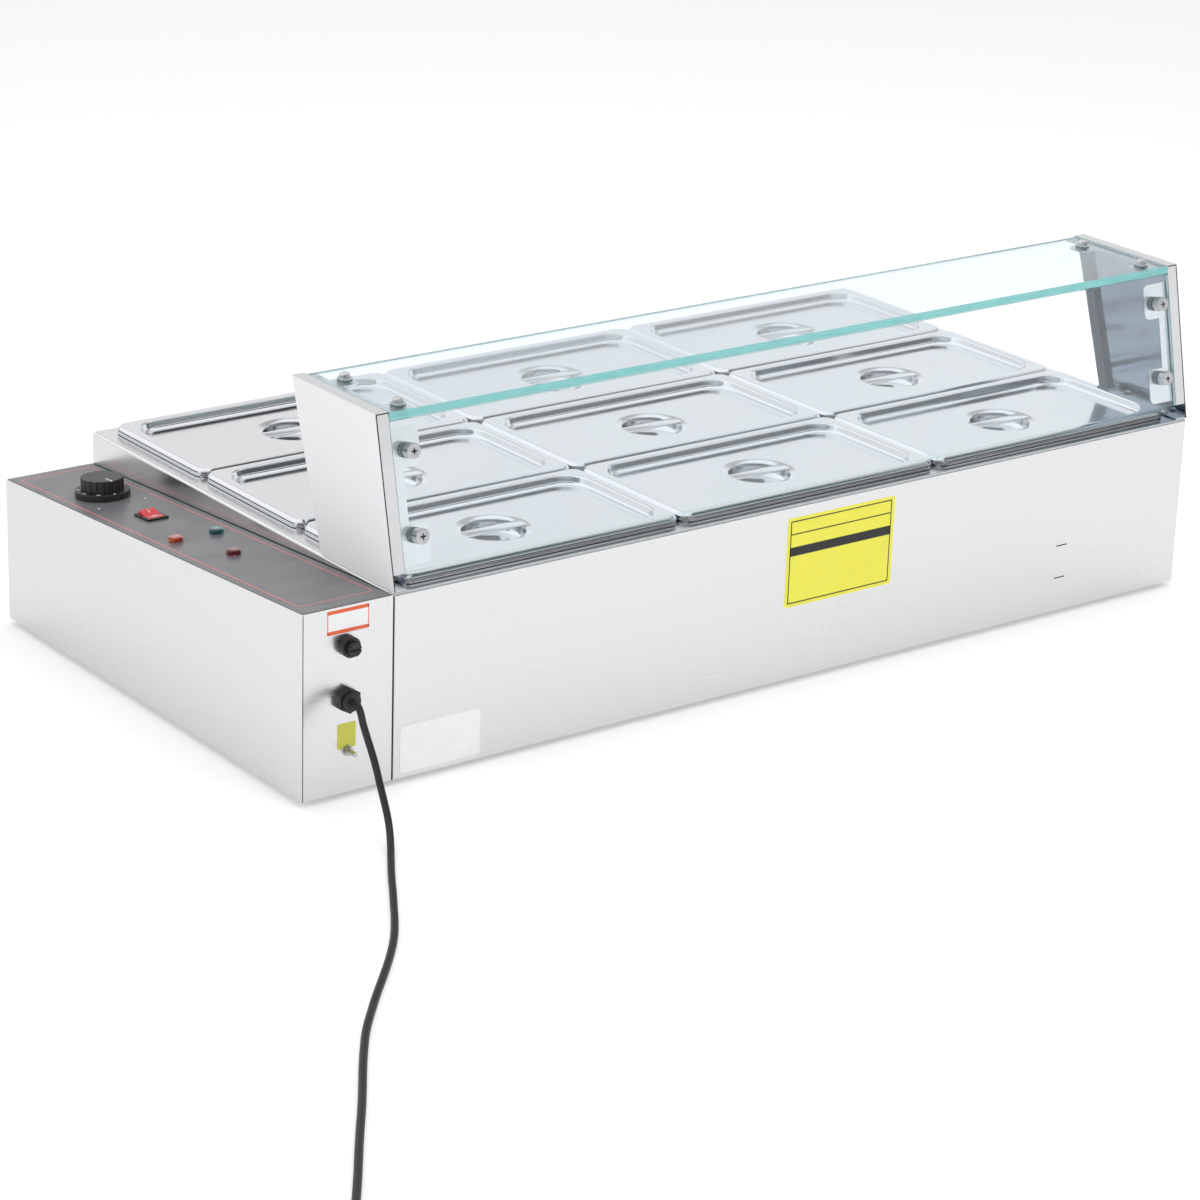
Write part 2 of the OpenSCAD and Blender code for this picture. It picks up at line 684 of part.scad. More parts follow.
module knob() color([0.10, 0.10, 0.11]) on_panel(box_mid, knob_y) translate([0, 0, overlay_t + panel_gap])
  difference() {
    union() {
      rotate_extrude() polygon(concat([[0, 0], [knob_r, 0]],
        arc(knob_r - over, skirt_h - over, over, 0, 90), [[0, skirt_h]]));
      difference() {
        cylinder(r = grip_r, h = knob_h);
        for (i = [0:grip_flutes - 1]) rotate([0, 0, (i + 0.5) * 360 / grip_flutes])
          translate([grip_r + flute_r / 2, 0, skirt_h]) cylinder(r = flute_r, h = knob_h, $fn = 24);
      }
    }
    translate([0, 0, -over]) cylinder(r = spindle_r + slip, h = knob_h - skirt_h + over);
    translate([-pointer_w / 2, -grip_r, knob_h - pointer_depth]) cube([pointer_w, grip_r - hub_r, knob_h]);
  }

module thermostat_spindle() color([0.70, 0.71, 0.72]) on_panel(box_mid, knob_y)
  translate([0, 0, -sheet_t - hub_r]) cylinder(r = spindle_r, h = sheet_t + hub_r + knob_h - skirt_h);

module thermostat() color([0.86, 0.84, 0.76]) on_panel(box_mid, knob_y) difference() {
  union() {
    translate([-thermostat_l / 2, -thermostat_w / 2, -sheet_t - thermostat_h])
      cube([thermostat_l, thermostat_w, thermostat_h]);
    translate([0, 0, -sheet_t - hair]) cylinder(r = bush_r, h = sheet_t + overlay_t / 2);
  }
  translate([0, 0, -sheet_t - hub_r - fit]) cylinder(r = spindle_r + slip, h = thermostat_h);
}

// Rocker, drawn off: its front half is pressed
module rocker() color([0.78, 0.10, 0.12])
  on_panel(box_mid, switch_y) rotate([rocker_swing / 2, 0, 0]) {
    half = switch_w / 2 - switch_wall - fit;
    rise = rocker_top + rocker_r * tan(rocker_tilt);
    rotate([90, 0, 90]) translate([0, 0, -half]) linear_extrude(2 * half) intersection() {
      circle(rocker_r);
      polygon([[-rocker_r, -rocker_r / 2], [rocker_r, -rocker_r / 2], [rocker_r, rise], [0, rocker_top],
               [-rocker_r, rise]]);
    }
  }

module rocker_bezel() color([0.07, 0.07, 0.08]) on_panel(box_mid, switch_y) difference() {
  cavity_w = switch_w - 2 * switch_wall;
  union() {
    translate([-rocker_w / 2, -rocker_l / 2, overlay_t]) cube([rocker_w, rocker_l, bezel_h]);
    translate([-switch_w / 2, -switch_l / 2, -switch_body_h])
      cube([switch_w, switch_l, switch_body_h + overlay_t + hair]);
  }
  rotate([0, 90, 0]) cylinder(r = rocker_r + fit, h = cavity_w, center = true);
  translate([-cavity_w / 2, -rocker_r - fit, 0]) cube([cavity_w, 2 * (rocker_r + fit), rocker_l]);
}

module lamp() {
  translate([0, 0, overlay_t]) rotate_extrude() polygon(concat([[0, 0], [lamp_r, 0], [lamp_r, lamp_flange_t]],
    arc(lamp_r - lamp_round, lamp_h - lamp_round, lamp_round, 0, 90), [[0, lamp_h]]));
  translate([0, 0, -lamp_body_l]) cylinder(r = lamp_body_r, h = lamp_body_l + overlay_t + hair);
}
module lamp_green() color([0.05, 0.55, 0.55]) lamp_places([0]) lamp();
module lamp_orange() color([0.90, 0.45, 0.12]) lamp_places([1]) lamp();
module lamp_red() color([0.62, 0.06, 0.12]) lamp_places([2]) lamp();

module fuse_holder() color([0.08, 0.08, 0.08]) front_wall(fuse_x, fuse_z) difference() {
  union() {
    cylinder(r = fuse_flange_r, h = fuse_flange_l);
    translate([0, 0, -fuse_body_l]) cylinder(r = fuse_body_r, h = fuse_body_l + hair);
  }
  translate([0, 0, fuse_flange_l / 2]) cylinder(r = fuse_cap_r + fit, h = fuse_flange_l);
  translate([0, 0, -fuse_link_l - fit]) cylinder(r = fuse_link_r + slip, h = fuse_link_l + fuse_flange_l);
}

module fuse_cap() color([0.16, 0.16, 0.16]) front_wall(fuse_x, fuse_z) difference() {
  translate([0, 0, fuse_flange_l / 2 + slip])
    cylinder(r = fuse_cap_r, h = fuse_reach - fuse_flange_l / 2 - slip);
  translate([-fuse_cap_r - over, -fuse_slot_w / 2, fuse_reach - fuse_slot_depth])
    cube([2 * (fuse_cap_r + over), fuse_slot_w, fuse_slot_depth + over]);
}

module fuse_link() color([0.85, 0.86, 0.88]) front_wall(fuse_x, fuse_z)
  translate([0, 0, -fuse_link_l]) cylinder(r = fuse_link_r, h = fuse_link_l + fuse_flange_l / 2 - fit);

module cord_gland() color([0.07, 0.07, 0.08]) front_wall(gland_x, gland_z) difference() {
  union() {
    rotate([0, 0, 30]) cylinder(r = gland_hex_r, h = gland_hex_l, $fn = 6);
    rotate_extrude() polygon(concat(
      [[0, 0], [gland_dome_r, 0], [gland_dome_r, gland_hex_l + gland_dome_l / 2]],
      arc(gland_dome_r - gland_dome_l / 2, gland_hex_l + gland_dome_l / 2, gland_dome_l / 2, 0, 90),
      [[0, gland_hex_l + gland_dome_l]]));
    translate([0, 0, -gland_thread_l]) cylinder(r = gland_thread_r, h = gland_thread_l + hair);
  }
  translate([0, 0, -gland_thread_l - over]) cylinder(r = cord_d / 2, h = gland_thread_l + over);
}

// Nuts behind the front face, on the fuse holder and the gland
module lock_nuts() color([0.12, 0.12, 0.13])
  for (p = [[fuse_x, fuse_z, fuse_body_r], [gland_x, gland_z, gland_thread_r]])
    front_wall(p[0], p[1]) translate([0, 0, -sheet_t - lock_nut_t]) difference() {
      cylinder(r = p[2] + lock_nut_wall, h = lock_nut_t, $fn = 6);
      translate([0, 0, -over]) cylinder(r = p[2] + slip, h = lock_nut_t + 2 * over);
    }

module earth_stud() color([0.76, 0.74, 0.66]) front_wall(earth_x, earth_z) {
  translate([0, 0, -earth_nut_t - sheet_t]) cylinder(r = earth_nut_r, h = earth_nut_t, $fn = 6);
  translate([0, 0, -earth_nut_t - sheet_t]) cylinder(r = earth_r, h = earth_nut_t + sheet_t + earth_l);
  cylinder(r = earth_washer_r, h = earth_washer_t);
  translate([0, 0, earth_washer_t]) cylinder(r = earth_nut_r, h = earth_nut_t, $fn = 6);
}

module terminal_block() color([0.92, 0.91, 0.88])
  translate([box_mid - block_w / 2, block_y, cover_lift + cover_t]) difference() {
    cube([block_w, block_l, block_h]);
    for (i = [0:block_ways - 1], x = [0.25, 0.75])
      translate([x * block_w, (i + 0.5) * block_l / block_ways, block_h / 2])
        cylinder(r = block_screw_r, h = block_h);
  }

// Tube along a list of points, as one closed mesh
module tube(points, r, sides) {
  n = len(points);
  dirs = [for (i = [0:n - 1]) unit(points[min(i + 1, n - 1)] - points[max(i - 1, 0)])];
  rings = [for (i = [0:n - 1])
    let(t = dirs[i], side = unit(cross(t, abs(t[2]) > 0.9 ? [1, 0, 0] : [0, 0, 1])), up = cross(side, t))
    for (k = [0:sides - 1]) points[i] + r * (cos((k + 0.5) * 360 / sides) * side
      + sin((k + 0.5) * 360 / sides) * up)];
  walls = [for (i = [0:n - 2], k = [0:sides - 1]) let(a = i * sides + k, b = i * sides + (k + 1) % sides)
    each [[a, b, b + sides], [a, b + sides, a + sides]]];
  last = (n - 1) * sides;
  caps = [for (k = [1:sides - 2]) each [[0, k + 1, k], [last, last + k, last + k + 1]]];
  polyhedron(concat(rings), concat(walls, caps));
}

// Centre line of the coil: in on the floor, up a layer in half a turn, and out again above
function coil_radius(t) = t <= coil_loops ? coil_outer_r - coil_pitch * t
  : t <= coil_loops + 0.5 ? coil_inner_r
  : coil_inner_r + coil_pitch * (t - coil_loops - 0.5);
function coil_level(t) = t <= coil_loops ? 0
  : t <= coil_loops + 0.5 ? coil_rise * (1 - cos(360 * (t - coil_loops))) / 2
  : coil_rise;
coil_turns = 2 * coil_loops + 0.5;
coil_line = [for (i = [0:coil_turns * coil_steps]) let(t = i / coil_steps, a = -360 * t)
  coil_centre + [coil_radius(t) * cos(a), coil_radius(t) * sin(a), coil_level(t)]];
coil_end = coil_line[len(coil_line) - 1];

// Least space between the coil's windings, measured between points on its centre line
coil_clear = min([for (i = [0:len(coil_line) - 1], j = [i + coil_steps / 2:1:len(coil_line) - 1])
  norm(coil_line[i] - coil_line[j])]) - cord_d;
echo(str("Least gap of the coil to itself: ", coil_clear, " mm"));

module cord_lead() color([0.06, 0.06, 0.06]) tube(lead_points, cord_d / 2, cord_sides);
module cord_coil() color([0.06, 0.06, 0.06])
  tube(concat([coil_start], coil_line, [coil_end + cord_d * [0, -1, 0]]), cord_d / 2, 6);
module cord_tail() color([0.06, 0.06, 0.06]) tube(tail_points, cord_d / 2, cord_sides);

// Strap round the two layers on the side away from the lead
module cord_tie() color([0.10, 0.10, 0.10]) {
  inner = coil_radius(1.5) - cord_d / 2 - fit;
  outer = coil_radius(0.5) + cord_d / 2 + fit;
  low = coil_centre[2] - cord_d / 2;
  high = coil_centre[2] + coil_rise + cord_d / 2;
  translate([coil_centre[0], coil_centre[1] + tie_w / 2, 0]) rotate([90, 0, 0]) linear_extrude(tie_w)
    difference() {
      translate([-outer - tie_t, low - tie_t]) square([outer - inner + 2 * tie_t, high - low + 2 * tie_t]);
      translate([-outer, low]) square([outer - inner, high - low]);
    }
}

// Frame of the plug: z along its axis from the cord towards the pins
module plug_place() translate(tail_points[len(tail_points) - 1]) rotate([90, 0, 0]) children();

module plug_body() color([0.06, 0.06, 0.06]) plug_place() rotate_extrude()
  polygon(concat([[0, 0], [plug_neck_tip_r, 0], [plug_neck_r, plug_neck_l]],
    arc(plug_r - plug_round, plug_neck_l + plug_round, plug_round, -90, 0),
    arc(plug_r - pin_round, plug_neck_l + plug_l - pin_round, pin_round, 0, 90),
    [[0, plug_neck_l + plug_l]]));

module plug_pins() color([0.82, 0.82, 0.80]) plug_place()
  for (x = [-pin_gap / 2, pin_gap / 2]) translate([x, 0, plug_neck_l + plug_l]) rotate_extrude()
    polygon(concat([[0, 0], [pin_r, 0]], arc(pin_r - pin_round, pin_l - pin_round, pin_round, 0, 90),
                   [[0, pin_l]]));

// One pan, its flange's corner at the origin and its flange's foot at zero
module gn_pan() color([0.80, 0.81, 0.83]) {
  difference() {
    union() {
      edge_sweep(pan_l, pan_w, lid_corner_r) translate([lid_corner_r - pan_t, 0]) square([pan_t, flange_h]);
      translate([0, 0, flange_h - pan_t]) linear_extrude(pan_t) inset_rect(pan_l, pan_w, lid_corner_r, 0);
      pan_shell(flange_w, 0, 0);
    }
    pan_shell(flange_w + pan_t, pan_t, over);
  }
}

// Tapered tub of a pan, from the flange down; rise lifts its floor and extra carries it up past the flange
module pan_shell(inset, rise, extra) {
  levels = [[-extra, 0], [pan_depth - pan_floor_rise - rise, 0], [pan_depth - rise, pan_floor_bevel]];
  hull() for (l = levels) {
    in = inset + l[0] * pan_draft_share + l[1];
    translate([0, 0, flange_h - l[0] - (l[0] == -extra ? (extra == 0 ? hair : 0) : 0)]) linear_extrude(hair)
      inset_rect(pan_l, pan_w, pan_corner_r, in, $fn = loft_fn);
  }
}

// One lid, its rim's corner at the origin and its rim's foot at zero
module gn_lid() color([0.86, 0.87, 0.89]) {
  rim_r = lid_rim_h;
  edge_sweep(pan_l, pan_w, lid_corner_r)
    polygon(concat(arc(lid_corner_r - rim_r, 0, rim_r, 0, 90),
                   arc(lid_corner_r - rim_r, 0, rim_r - pan_t, 90, 0)));
  translate([0, 0, lid_rim_h - pan_t]) linear_extrude(pan_t) difference() {
    inset_rect(pan_l, pan_w, lid_corner_r - rim_r, rim_r);
    inset_rect(pan_l, pan_w, field_r, field_inset);
  }
  translate([0, 0, lid_rim_h - field_drop - pan_t]) {
    linear_extrude(field_drop + pan_t) difference() {
      inset_rect(pan_l, pan_w, field_r + pan_t, field_inset - pan_t);
      inset_rect(pan_l, pan_w, field_r, field_inset);
    }
    linear_extrude(pan_t) difference() {
      inset_rect(pan_l, pan_w, field_r + pan_t, field_inset - pan_t);
      translate([pan_l / 2, pan_w / 2]) circle(cup_r + shoulder_r);
    }
  }
  translate([pan_l / 2, pan_w / 2, lid_rim_h - field_drop]) {
    rotate_extrude() polygon(cup_profile());
    strap();
  }
}

// Section of the pressed cup, zero at the field's surface
function cup_profile() = let(s = shoulder_r, f = floor_fillet_r, t = pan_t, d = cup_depth) concat(
  arc(cup_r + s, -s, s, 90, 180), arc(cup_r - f, -d + f, f, 0, -90), [[0, -d]],
  [[0, -d - t]], arc(cup_r - f, -d + f, f + t, -90, 0), arc(cup_r + s, -s, s - t, 180, 90));

// Crowned strap across the cup, welded to its shoulder
module strap() {
  reach = cup_r + shoulder_r / 2;
  drop = strap_crown_r - sqrt(strap_crown_r * strap_crown_r - strap_w * strap_w / 4);
  translate([-reach, 0, -drop]) rotate([90, 0, 90]) linear_extrude(2 * reach) intersection() {
    translate([0, -strap_crown_r + drop]) difference() {
      circle(strap_crown_r);
      circle(strap_crown_r - strap_t);
    }
    translate([-strap_w / 2, -strap_w / 2]) square([strap_w, strap_w]);
  }
}

// Puts a pan or lid into its cell
module cell(row, column, z)
  translate([deck_end_w + column * pitch_x + pan_gap_x / 2, deck_side_w + row * pitch_y + pan_gap_y / 2, z])
    children();

// The part's origin is on the floor below the middle of its outer box, cord aside
module place() translate([-(body_l - box_w) / 2, -(body_d - fuse_reach) / 2, foot_h]) children();

place() body_casing();
place() tank_base();
place() column_bars();
place() row_bars();
place() rubber_feet();
place() heating_elements();
place() heater_unions();
place() thermostat_bulb();
place() guard_left_panel();
place() guard_right_panel();
place() top_glass();
place() front_glass();
place() top_glass_screws();
place() front_glass_studs();
place() glass_washers();
place() guard_foot_screws();
place() box_gasket();
place() control_housing();
place() control_panel();
place() housing_base();
place() housing_screws();
place() knob();
place() thermostat_spindle();
place() thermostat();
place() rocker();
place() rocker_bezel();
place() lamp_green();
place() lamp_orange();
place() lamp_red();
place() fuse_holder();
place() fuse_cap();
place() fuse_link();
place() cord_gland();
place() lock_nuts();
place() earth_stud();
place() terminal_block();
place() cord_lead();
place() cord_coil();
place() cord_tail();
place() cord_tie();
place() plug_body();
place() plug_pins();
for (r = [0:len(ROWS) - 1], c = [0:len(COLUMNS) - 1]) {
  place() cell(r, c, body_h) gn_pan();
  place() cell(r, c, flange_top) gn_lid();
}
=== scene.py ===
"""Looks of a countertop steam table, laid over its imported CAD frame.

Lengths in the classes are in millimetres, measured from the body's lower front left corner with x
along the customer side, y away from the customer and z up. Blender's own units are metres.
"""

import logging
import math
from dataclasses import dataclass, field
from enum import Enum
from typing import Callable, Iterable, Optional, Sequence, Union

import bmesh
import bpy
from mathutils import Matrix, Vector

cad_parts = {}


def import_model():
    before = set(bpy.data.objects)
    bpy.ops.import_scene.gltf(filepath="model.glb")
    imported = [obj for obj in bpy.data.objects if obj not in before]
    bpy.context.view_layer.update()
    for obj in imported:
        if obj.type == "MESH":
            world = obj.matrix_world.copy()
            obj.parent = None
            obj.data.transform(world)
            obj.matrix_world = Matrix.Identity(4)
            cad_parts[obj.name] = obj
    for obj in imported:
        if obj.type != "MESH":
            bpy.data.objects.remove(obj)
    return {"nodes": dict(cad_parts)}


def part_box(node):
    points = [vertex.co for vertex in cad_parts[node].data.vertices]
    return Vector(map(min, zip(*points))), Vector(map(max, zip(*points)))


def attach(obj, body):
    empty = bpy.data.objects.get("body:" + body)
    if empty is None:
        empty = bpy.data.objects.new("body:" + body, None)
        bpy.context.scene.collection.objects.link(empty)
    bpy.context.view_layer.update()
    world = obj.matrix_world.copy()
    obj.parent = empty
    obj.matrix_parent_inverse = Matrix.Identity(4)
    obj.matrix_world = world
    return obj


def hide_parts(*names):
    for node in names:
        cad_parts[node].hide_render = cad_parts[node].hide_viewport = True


log = logging.getLogger("steam_table")

MM = 0.001

Colour = tuple[float, float, float]
Point = tuple[float, float, float]
Socket = bpy.types.NodeSocket
Given = Union[float, Sequence[float], Socket]


def tone(red: int, green: int, blue: int) -> Colour:
    """Turn a screen colour into the linear one that a shader wants.

    Args:
        red: Screen red, 0 to 255.
        green: Screen green, 0 to 255.
        blue: Screen blue, 0 to 255.

    Returns:
        The three linear values.
    """

    def linear(value: int) -> float:
        """Undo the screen curve for one channel."""
        share = value / 255
        return share / 12.92 if share <= 0.04045 else ((share + 0.055) / 1.055) ** 2.4

    return (linear(red), linear(green), linear(blue))


@dataclass(frozen=True)
class BodyFrame:
    """The table's own measure, from the lower front left corner of its body."""

    corner: Vector
    length: float = 1013.0
    height: float = 184.0
    depth: float = 560.0
    panel_fall: float = 34.0
    film_lift: float = 0.6

    @classmethod
    def from_cad(cls) -> "BodyFrame":
        """Read the corner from the CAD body."""
        return cls(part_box("body_casing")[0].copy())

    @property
    def slope(self) -> float:
        """Give the angle at which the control panel falls towards the customer."""
        return math.atan(self.panel_fall / self.depth)

    def at(self, x: float, y: float, z: float) -> Vector:
        """Give a point of the body in Blender's frame."""
        return self.corner + Vector((x, y, z)) * MM

    def shift(self, x: float, y: float, z: float) -> Matrix:
        """Give the matrix that moves a piece's own origin to a point of the body."""
        return Matrix.Translation(self.at(x, y, z))

    def on_panel(self, x: float, y: float, lift: float = 0.0) -> Matrix:
        """Give the frame of a place on the sloping control panel.

        Args:
            x: Place along the body.
            y: Place away from the customer.
            lift: Height above the film, along the panel's normal.

        Returns:
            The matrix whose z axis stands on the film.
        """
        foot = self.shift(x, y, self.height - self.film_lift - y * math.tan(self.slope))
        turn = Matrix.Rotation(-self.slope, 4, "X")
        return foot @ turn @ Matrix.Translation((0.0, 0.0, (lift + self.film_lift) * MM))

    def on_front(self, x: float, z: float, lift: float = 0.0) -> Matrix:
        """Give the frame of a place on an upright front face, y up and z towards the customer."""
        return self.shift(x, -lift, z) @ Matrix.Rotation(math.radians(90), 4, "X")


class Bench:
    """The modelling moves that the sub-assemblies share, each one a Blender operator."""

    @staticmethod
    def clear() -> None:
        """Leave edit mode and deselect every object."""
        if bpy.context.mode != "OBJECT":
            bpy.ops.object.mode_set(mode="OBJECT")
        bpy.ops.object.select_all(action="DESELECT")

    @staticmethod
    def hold(piece: bpy.types.Object) -> None:
        """Make one object the only selected one and the active one."""
        Bench.clear()
        piece.select_set(True)
        bpy.context.view_layer.objects.active = piece

    @staticmethod
    def take_new(name: str) -> bpy.types.Object:
        """Name the primitive that has just been added and hand it over."""
        piece = bpy.context.active_object
        piece.name = name
        piece.data.name = name
        return piece

    @staticmethod
    def empty(name: str) -> bpy.types.Object:
        """Start a piece with an empty mesh, and open it in edit mode."""
        Bench.clear()
        bpy.ops.mesh.primitive_plane_add(size=1.0)
        piece = Bench.take_new(name)
        Bench.edit(piece)
        bpy.ops.mesh.delete(type="VERT")
        return piece

    @staticmethod
    def edit(piece: bpy.types.Object) -> None:
        """Open one object in edit mode with everything selected."""
        Bench.hold(piece)
        bpy.ops.object.mode_set(mode="EDIT")
        bpy.ops.mesh.select_all(action="SELECT")

    @staticmethod
    def done() -> None:
        """Go back to object mode."""
        bpy.ops.object.mode_set(mode="OBJECT")

    @staticmethod
    def pick_edges(piece: bpy.types.Object, wanted: Callable[[bmesh.types.BMEdge], bool]) -> None:
        """Select the edges that a test names, in edit mode.

        Args:
            piece: The object in edit mode.
            wanted: The test that an edge passes.
        """
        bpy.ops.mesh.select_mode(type="EDGE")
        bpy.ops.mesh.select_all(action="DESELECT")
        mesh = bmesh.from_edit_mesh(piece.data)
        for edge in mesh.edges:
            if wanted(edge):
                edge.select_set(True)
        bmesh.update_edit_mesh(piece.data)

    @staticmethod
    def pick_faces(piece: bpy.types.Object, wanted: Callable[[bmesh.types.BMFace], bool]) -> None:
        """Select the faces that a test names, in edit mode.

        Args:
            piece: The object in edit mode.
            wanted: The test that a face passes.
        """
        bpy.ops.mesh.select_mode(type="FACE")
        bpy.ops.mesh.select_all(action="DESELECT")
        mesh = bmesh.from_edit_mesh(piece.data)
        for face in mesh.faces:
            if wanted(face):
                face.select_set(True)
        bmesh.update_edit_mesh(piece.data)

    @staticmethod
    def rounded_face(width: float, depth: float, radius: float, z: float, steps: int = 8) -> None:
        """Add a face with round corners to the mesh in edit mode, and leave it selected.

        Args:
            width: Size along x.
            depth: Size along y.
            radius: Radius of the corners.
            z: Its height.
            steps: Segments of each corner.
        """
        bpy.ops.mesh.primitive_plane_add(size=1.0, location=(0.0, 0.0, z * MM))
        bpy.ops.transform.resize(value=(width * MM, depth * MM, 1.0), center_override=(0.0, 0.0, z * MM))
        if radius > 0:
            bpy.ops.mesh.bevel(
                offset=radius * MM, offset_type="OFFSET", segments=steps, profile=0.5, affect="VERTICES"
            )

    @staticmethod
    def inset(inward: float, rise: float) -> None:
        """Inset the selected face, and raise the new face by a rise."""
        bpy.ops.mesh.select_mode(type="FACE")
        bpy.ops.mesh.inset(thickness=inward * MM, depth=rise * MM, use_even_offset=True)

    @staticmethod
    def modifier(piece: bpy.types.Object, kind: str, **settings: object) -> None:
        """Add a modifier with its settings and apply it.

        Args:
            piece: The object.
            kind: The modifier's type.
            **settings: Its properties by name.
        """
        Bench.hold(piece)
        made = piece.modifiers.new(kind.lower(), kind)
        for name, value in settings.items():
            setattr(made, name, value)
        bpy.ops.object.modifier_apply(modifier=made.name)

    @staticmethod
    def smooth(piece: bpy.types.Object, degrees: float = 32.0) -> None:
        """Shade an object smooth, apart from edges sharper than an angle."""
        Bench.hold(piece)
        bpy.ops.object.shade_smooth_by_angle(angle=math.radians(degrees))

    @staticmethod
    def put(piece: bpy.types.Object, place: Matrix) -> None:
        """Move a piece to its place and write the place into its mesh."""
        Bench.hold(piece)
        piece.matrix_world = place
        bpy.context.view_layer.update()
        bpy.ops.object.transform_apply(location=True, rotation=True, scale=True)

    @staticmethod
    def copy(piece: bpy.types.Object, name: str) -> bpy.types.Object:
        """Copy a piece with a mesh of its own."""
        Bench.hold(piece)
        bpy.ops.object.duplicate(linked=False)
        return Bench.take_new(name)

    @staticmethod
    def join(pieces: Sequence[bpy.types.Object], name: str) -> bpy.types.Object:
        """Join pieces into one object.

        Args:
            pieces: The objects, of which the first stays.
            name: The joined object's name.

        Returns:
            The joined object.
        """
        Bench.clear()
        for piece in pieces:
            piece.select_set(True)
        bpy.context.view_layer.objects.active = pieces[0]
        bpy.ops.object.join()
        return Bench.take_new(name)

    @staticmethod
    def outward(piece: bpy.types.Object) -> None:
        """Merge doubles and turn every face outwards."""
        Bench.edit(piece)
        bpy.ops.mesh.remove_doubles(threshold=1e-6)
        bpy.ops.mesh.select_all(action="SELECT")
        bpy.ops.mesh.normals_make_consistent(inside=False)
        Bench.done()

    @staticmethod
    def thicken(piece: bpy.types.Object, thick: float) -> None:
        """Raise the flat mesh in edit mode to a thickness, and close it."""
        bpy.ops.mesh.select_all(action="SELECT")
        bpy.ops.mesh.extrude_region_move(TRANSFORM_OT_translate={"value": (0.0, 0.0, thick * MM)})
        Bench.done()
        Bench.outward(piece)

    @staticmethod
    def softened(node: str, name: str, width: float, steps: int = 2, sharp: float = 34.0) -> bpy.types.Object:
        """Copy a CAD node, merge the copy and round its sharp edges.

        Args:
            node: The CAD node.
            name: The new piece's name.
            width: Width of the rounding; 0 keeps the edges.
            steps: Segments of the rounding.
            sharp: Least angle of an edge that is rounded, in degrees.

        Returns:
            The new piece, which stands for the node.
        """
        source = frame_nodes()[node]
        piece = source.copy()
        piece.data = source.data.copy()
        piece.name = name
        piece.data.name = name
        bpy.context.scene.collection.objects.link(piece)
        piece.parent = None
        piece.matrix_world = Matrix.Identity(4)
        Bench.edit(piece)
        bpy.ops.mesh.customdata_custom_splitnormals_clear()
        bpy.ops.mesh.remove_doubles(threshold=2e-6)
        bpy.ops.mesh.select_all(action="SELECT")
        bpy.ops.mesh.dissolve_limited(angle_limit=math.radians(0.6))
        Bench.done()
        if width > 0:
            Bench.modifier(
                piece, "BEVEL", width=width * MM, segments=steps, limit_method="ANGLE",
                angle_limit=math.radians(sharp), use_clamp_overlap=True, harden_normals=False,
            )
        Bench.smooth(piece)
        Bench.modifier(piece, "WEIGHTED_NORMAL", keep_sharp=True, weight=60)
        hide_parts(node)
        return piece


def frame_nodes() -> dict[str, bpy.types.Object]:
    """Give the CAD nodes by name."""
    return CAD["nodes"]


CAD: dict[str, dict] = {"nodes": {}}


class Sheet:
    """A node tree that is being laid out."""

    def __init__(self, tree: bpy.types.NodeTree) -> None:
        """Start on a tree.

        Args:
            tree: The material's or the group's node tree.
        """
        self.tree = tree

    def add(self, kind: str, given: Optional[dict] = None, **settings: object) -> bpy.types.Node:
        """Place a node.

        Args:
            kind: The node's type, without its prefix.
            given: Values or sockets for its inputs, by name or number.
            **settings: Its properties by name.

        Returns:
            The node.
        """
        made = self.tree.nodes.new("ShaderNode" + kind)
        for name, value in settings.items():
            setattr(made, name, value)
        for key, value in (given or {}).items():
            if isinstance(value, bpy.types.NodeSocket):
                self.tree.links.new(value, made.inputs[key])
            else:
                made.inputs[key].default_value = value
        return made

    def add_group_end(self, kind: str) -> bpy.types.Node:
        """Place a group's input or output node."""
        return self.tree.nodes.new(kind)

    def math(self, operation: str, first: Given, second: Given = 0.0, clamp: bool = False) -> Socket:
        """Place a Math node and give its result.

        Args:
            operation: The operation.
            first: Its first value or socket.
            second: Its second value or socket.
            clamp: Whether the result stays within 0 and 1.

        Returns:
            The result's socket.
        """
        return self.add("Math", {0: first, 1: second}, operation=operation, use_clamp=clamp).outputs[0]

    def spread(self, value: Socket, low: float, high: float, start: float = 0.0, end: float = 1.0) -> Socket:
        """Spread a value between two limits.

        Args:
            value: The socket with the value.
            low: The result where the value is at its start.
            high: The result where the value is at its end.
            start: The value's start.
            end: The value's end.

        Returns:
            The result's socket.
        """
        given = {"Value": value, "From Min": start, "From Max": end, "To Min": low, "To Max": high}
        return self.add("MapRange", given).outputs["Result"]

    def blend(self, share: Given, first: Given, second: Given) -> Socket:
        """Mix two colours by a share and give the result."""
        made = self.add("Mix", data_type="RGBA")
        for key, value in ((0, share), (6, first), (7, second)):
            if isinstance(value, bpy.types.NodeSocket):
                self.tree.links.new(value, made.inputs[key])
            else:
                made.inputs[key].default_value = (*value, 1.0) if key else value
        return made.outputs[2]

    def place(self, vector: Socket, scale: Point, turn: Point = (0.0, 0.0, 0.0)) -> Socket:
        """Scale and turn coordinates."""
        given = {"Vector": vector, "Scale": scale, "Rotation": turn}
        return self.add("Mapping", given).outputs[0]

    def noise(self, vector: Socket, scale: float, detail: float = 2.0, rough: float = 0.5) -> Socket:
        """Place a noise texture and give its value."""
        given = {"Vector": vector, "Scale": scale, "Detail": detail, "Roughness": rough}
        return self.add("TexNoise", given).outputs[0]


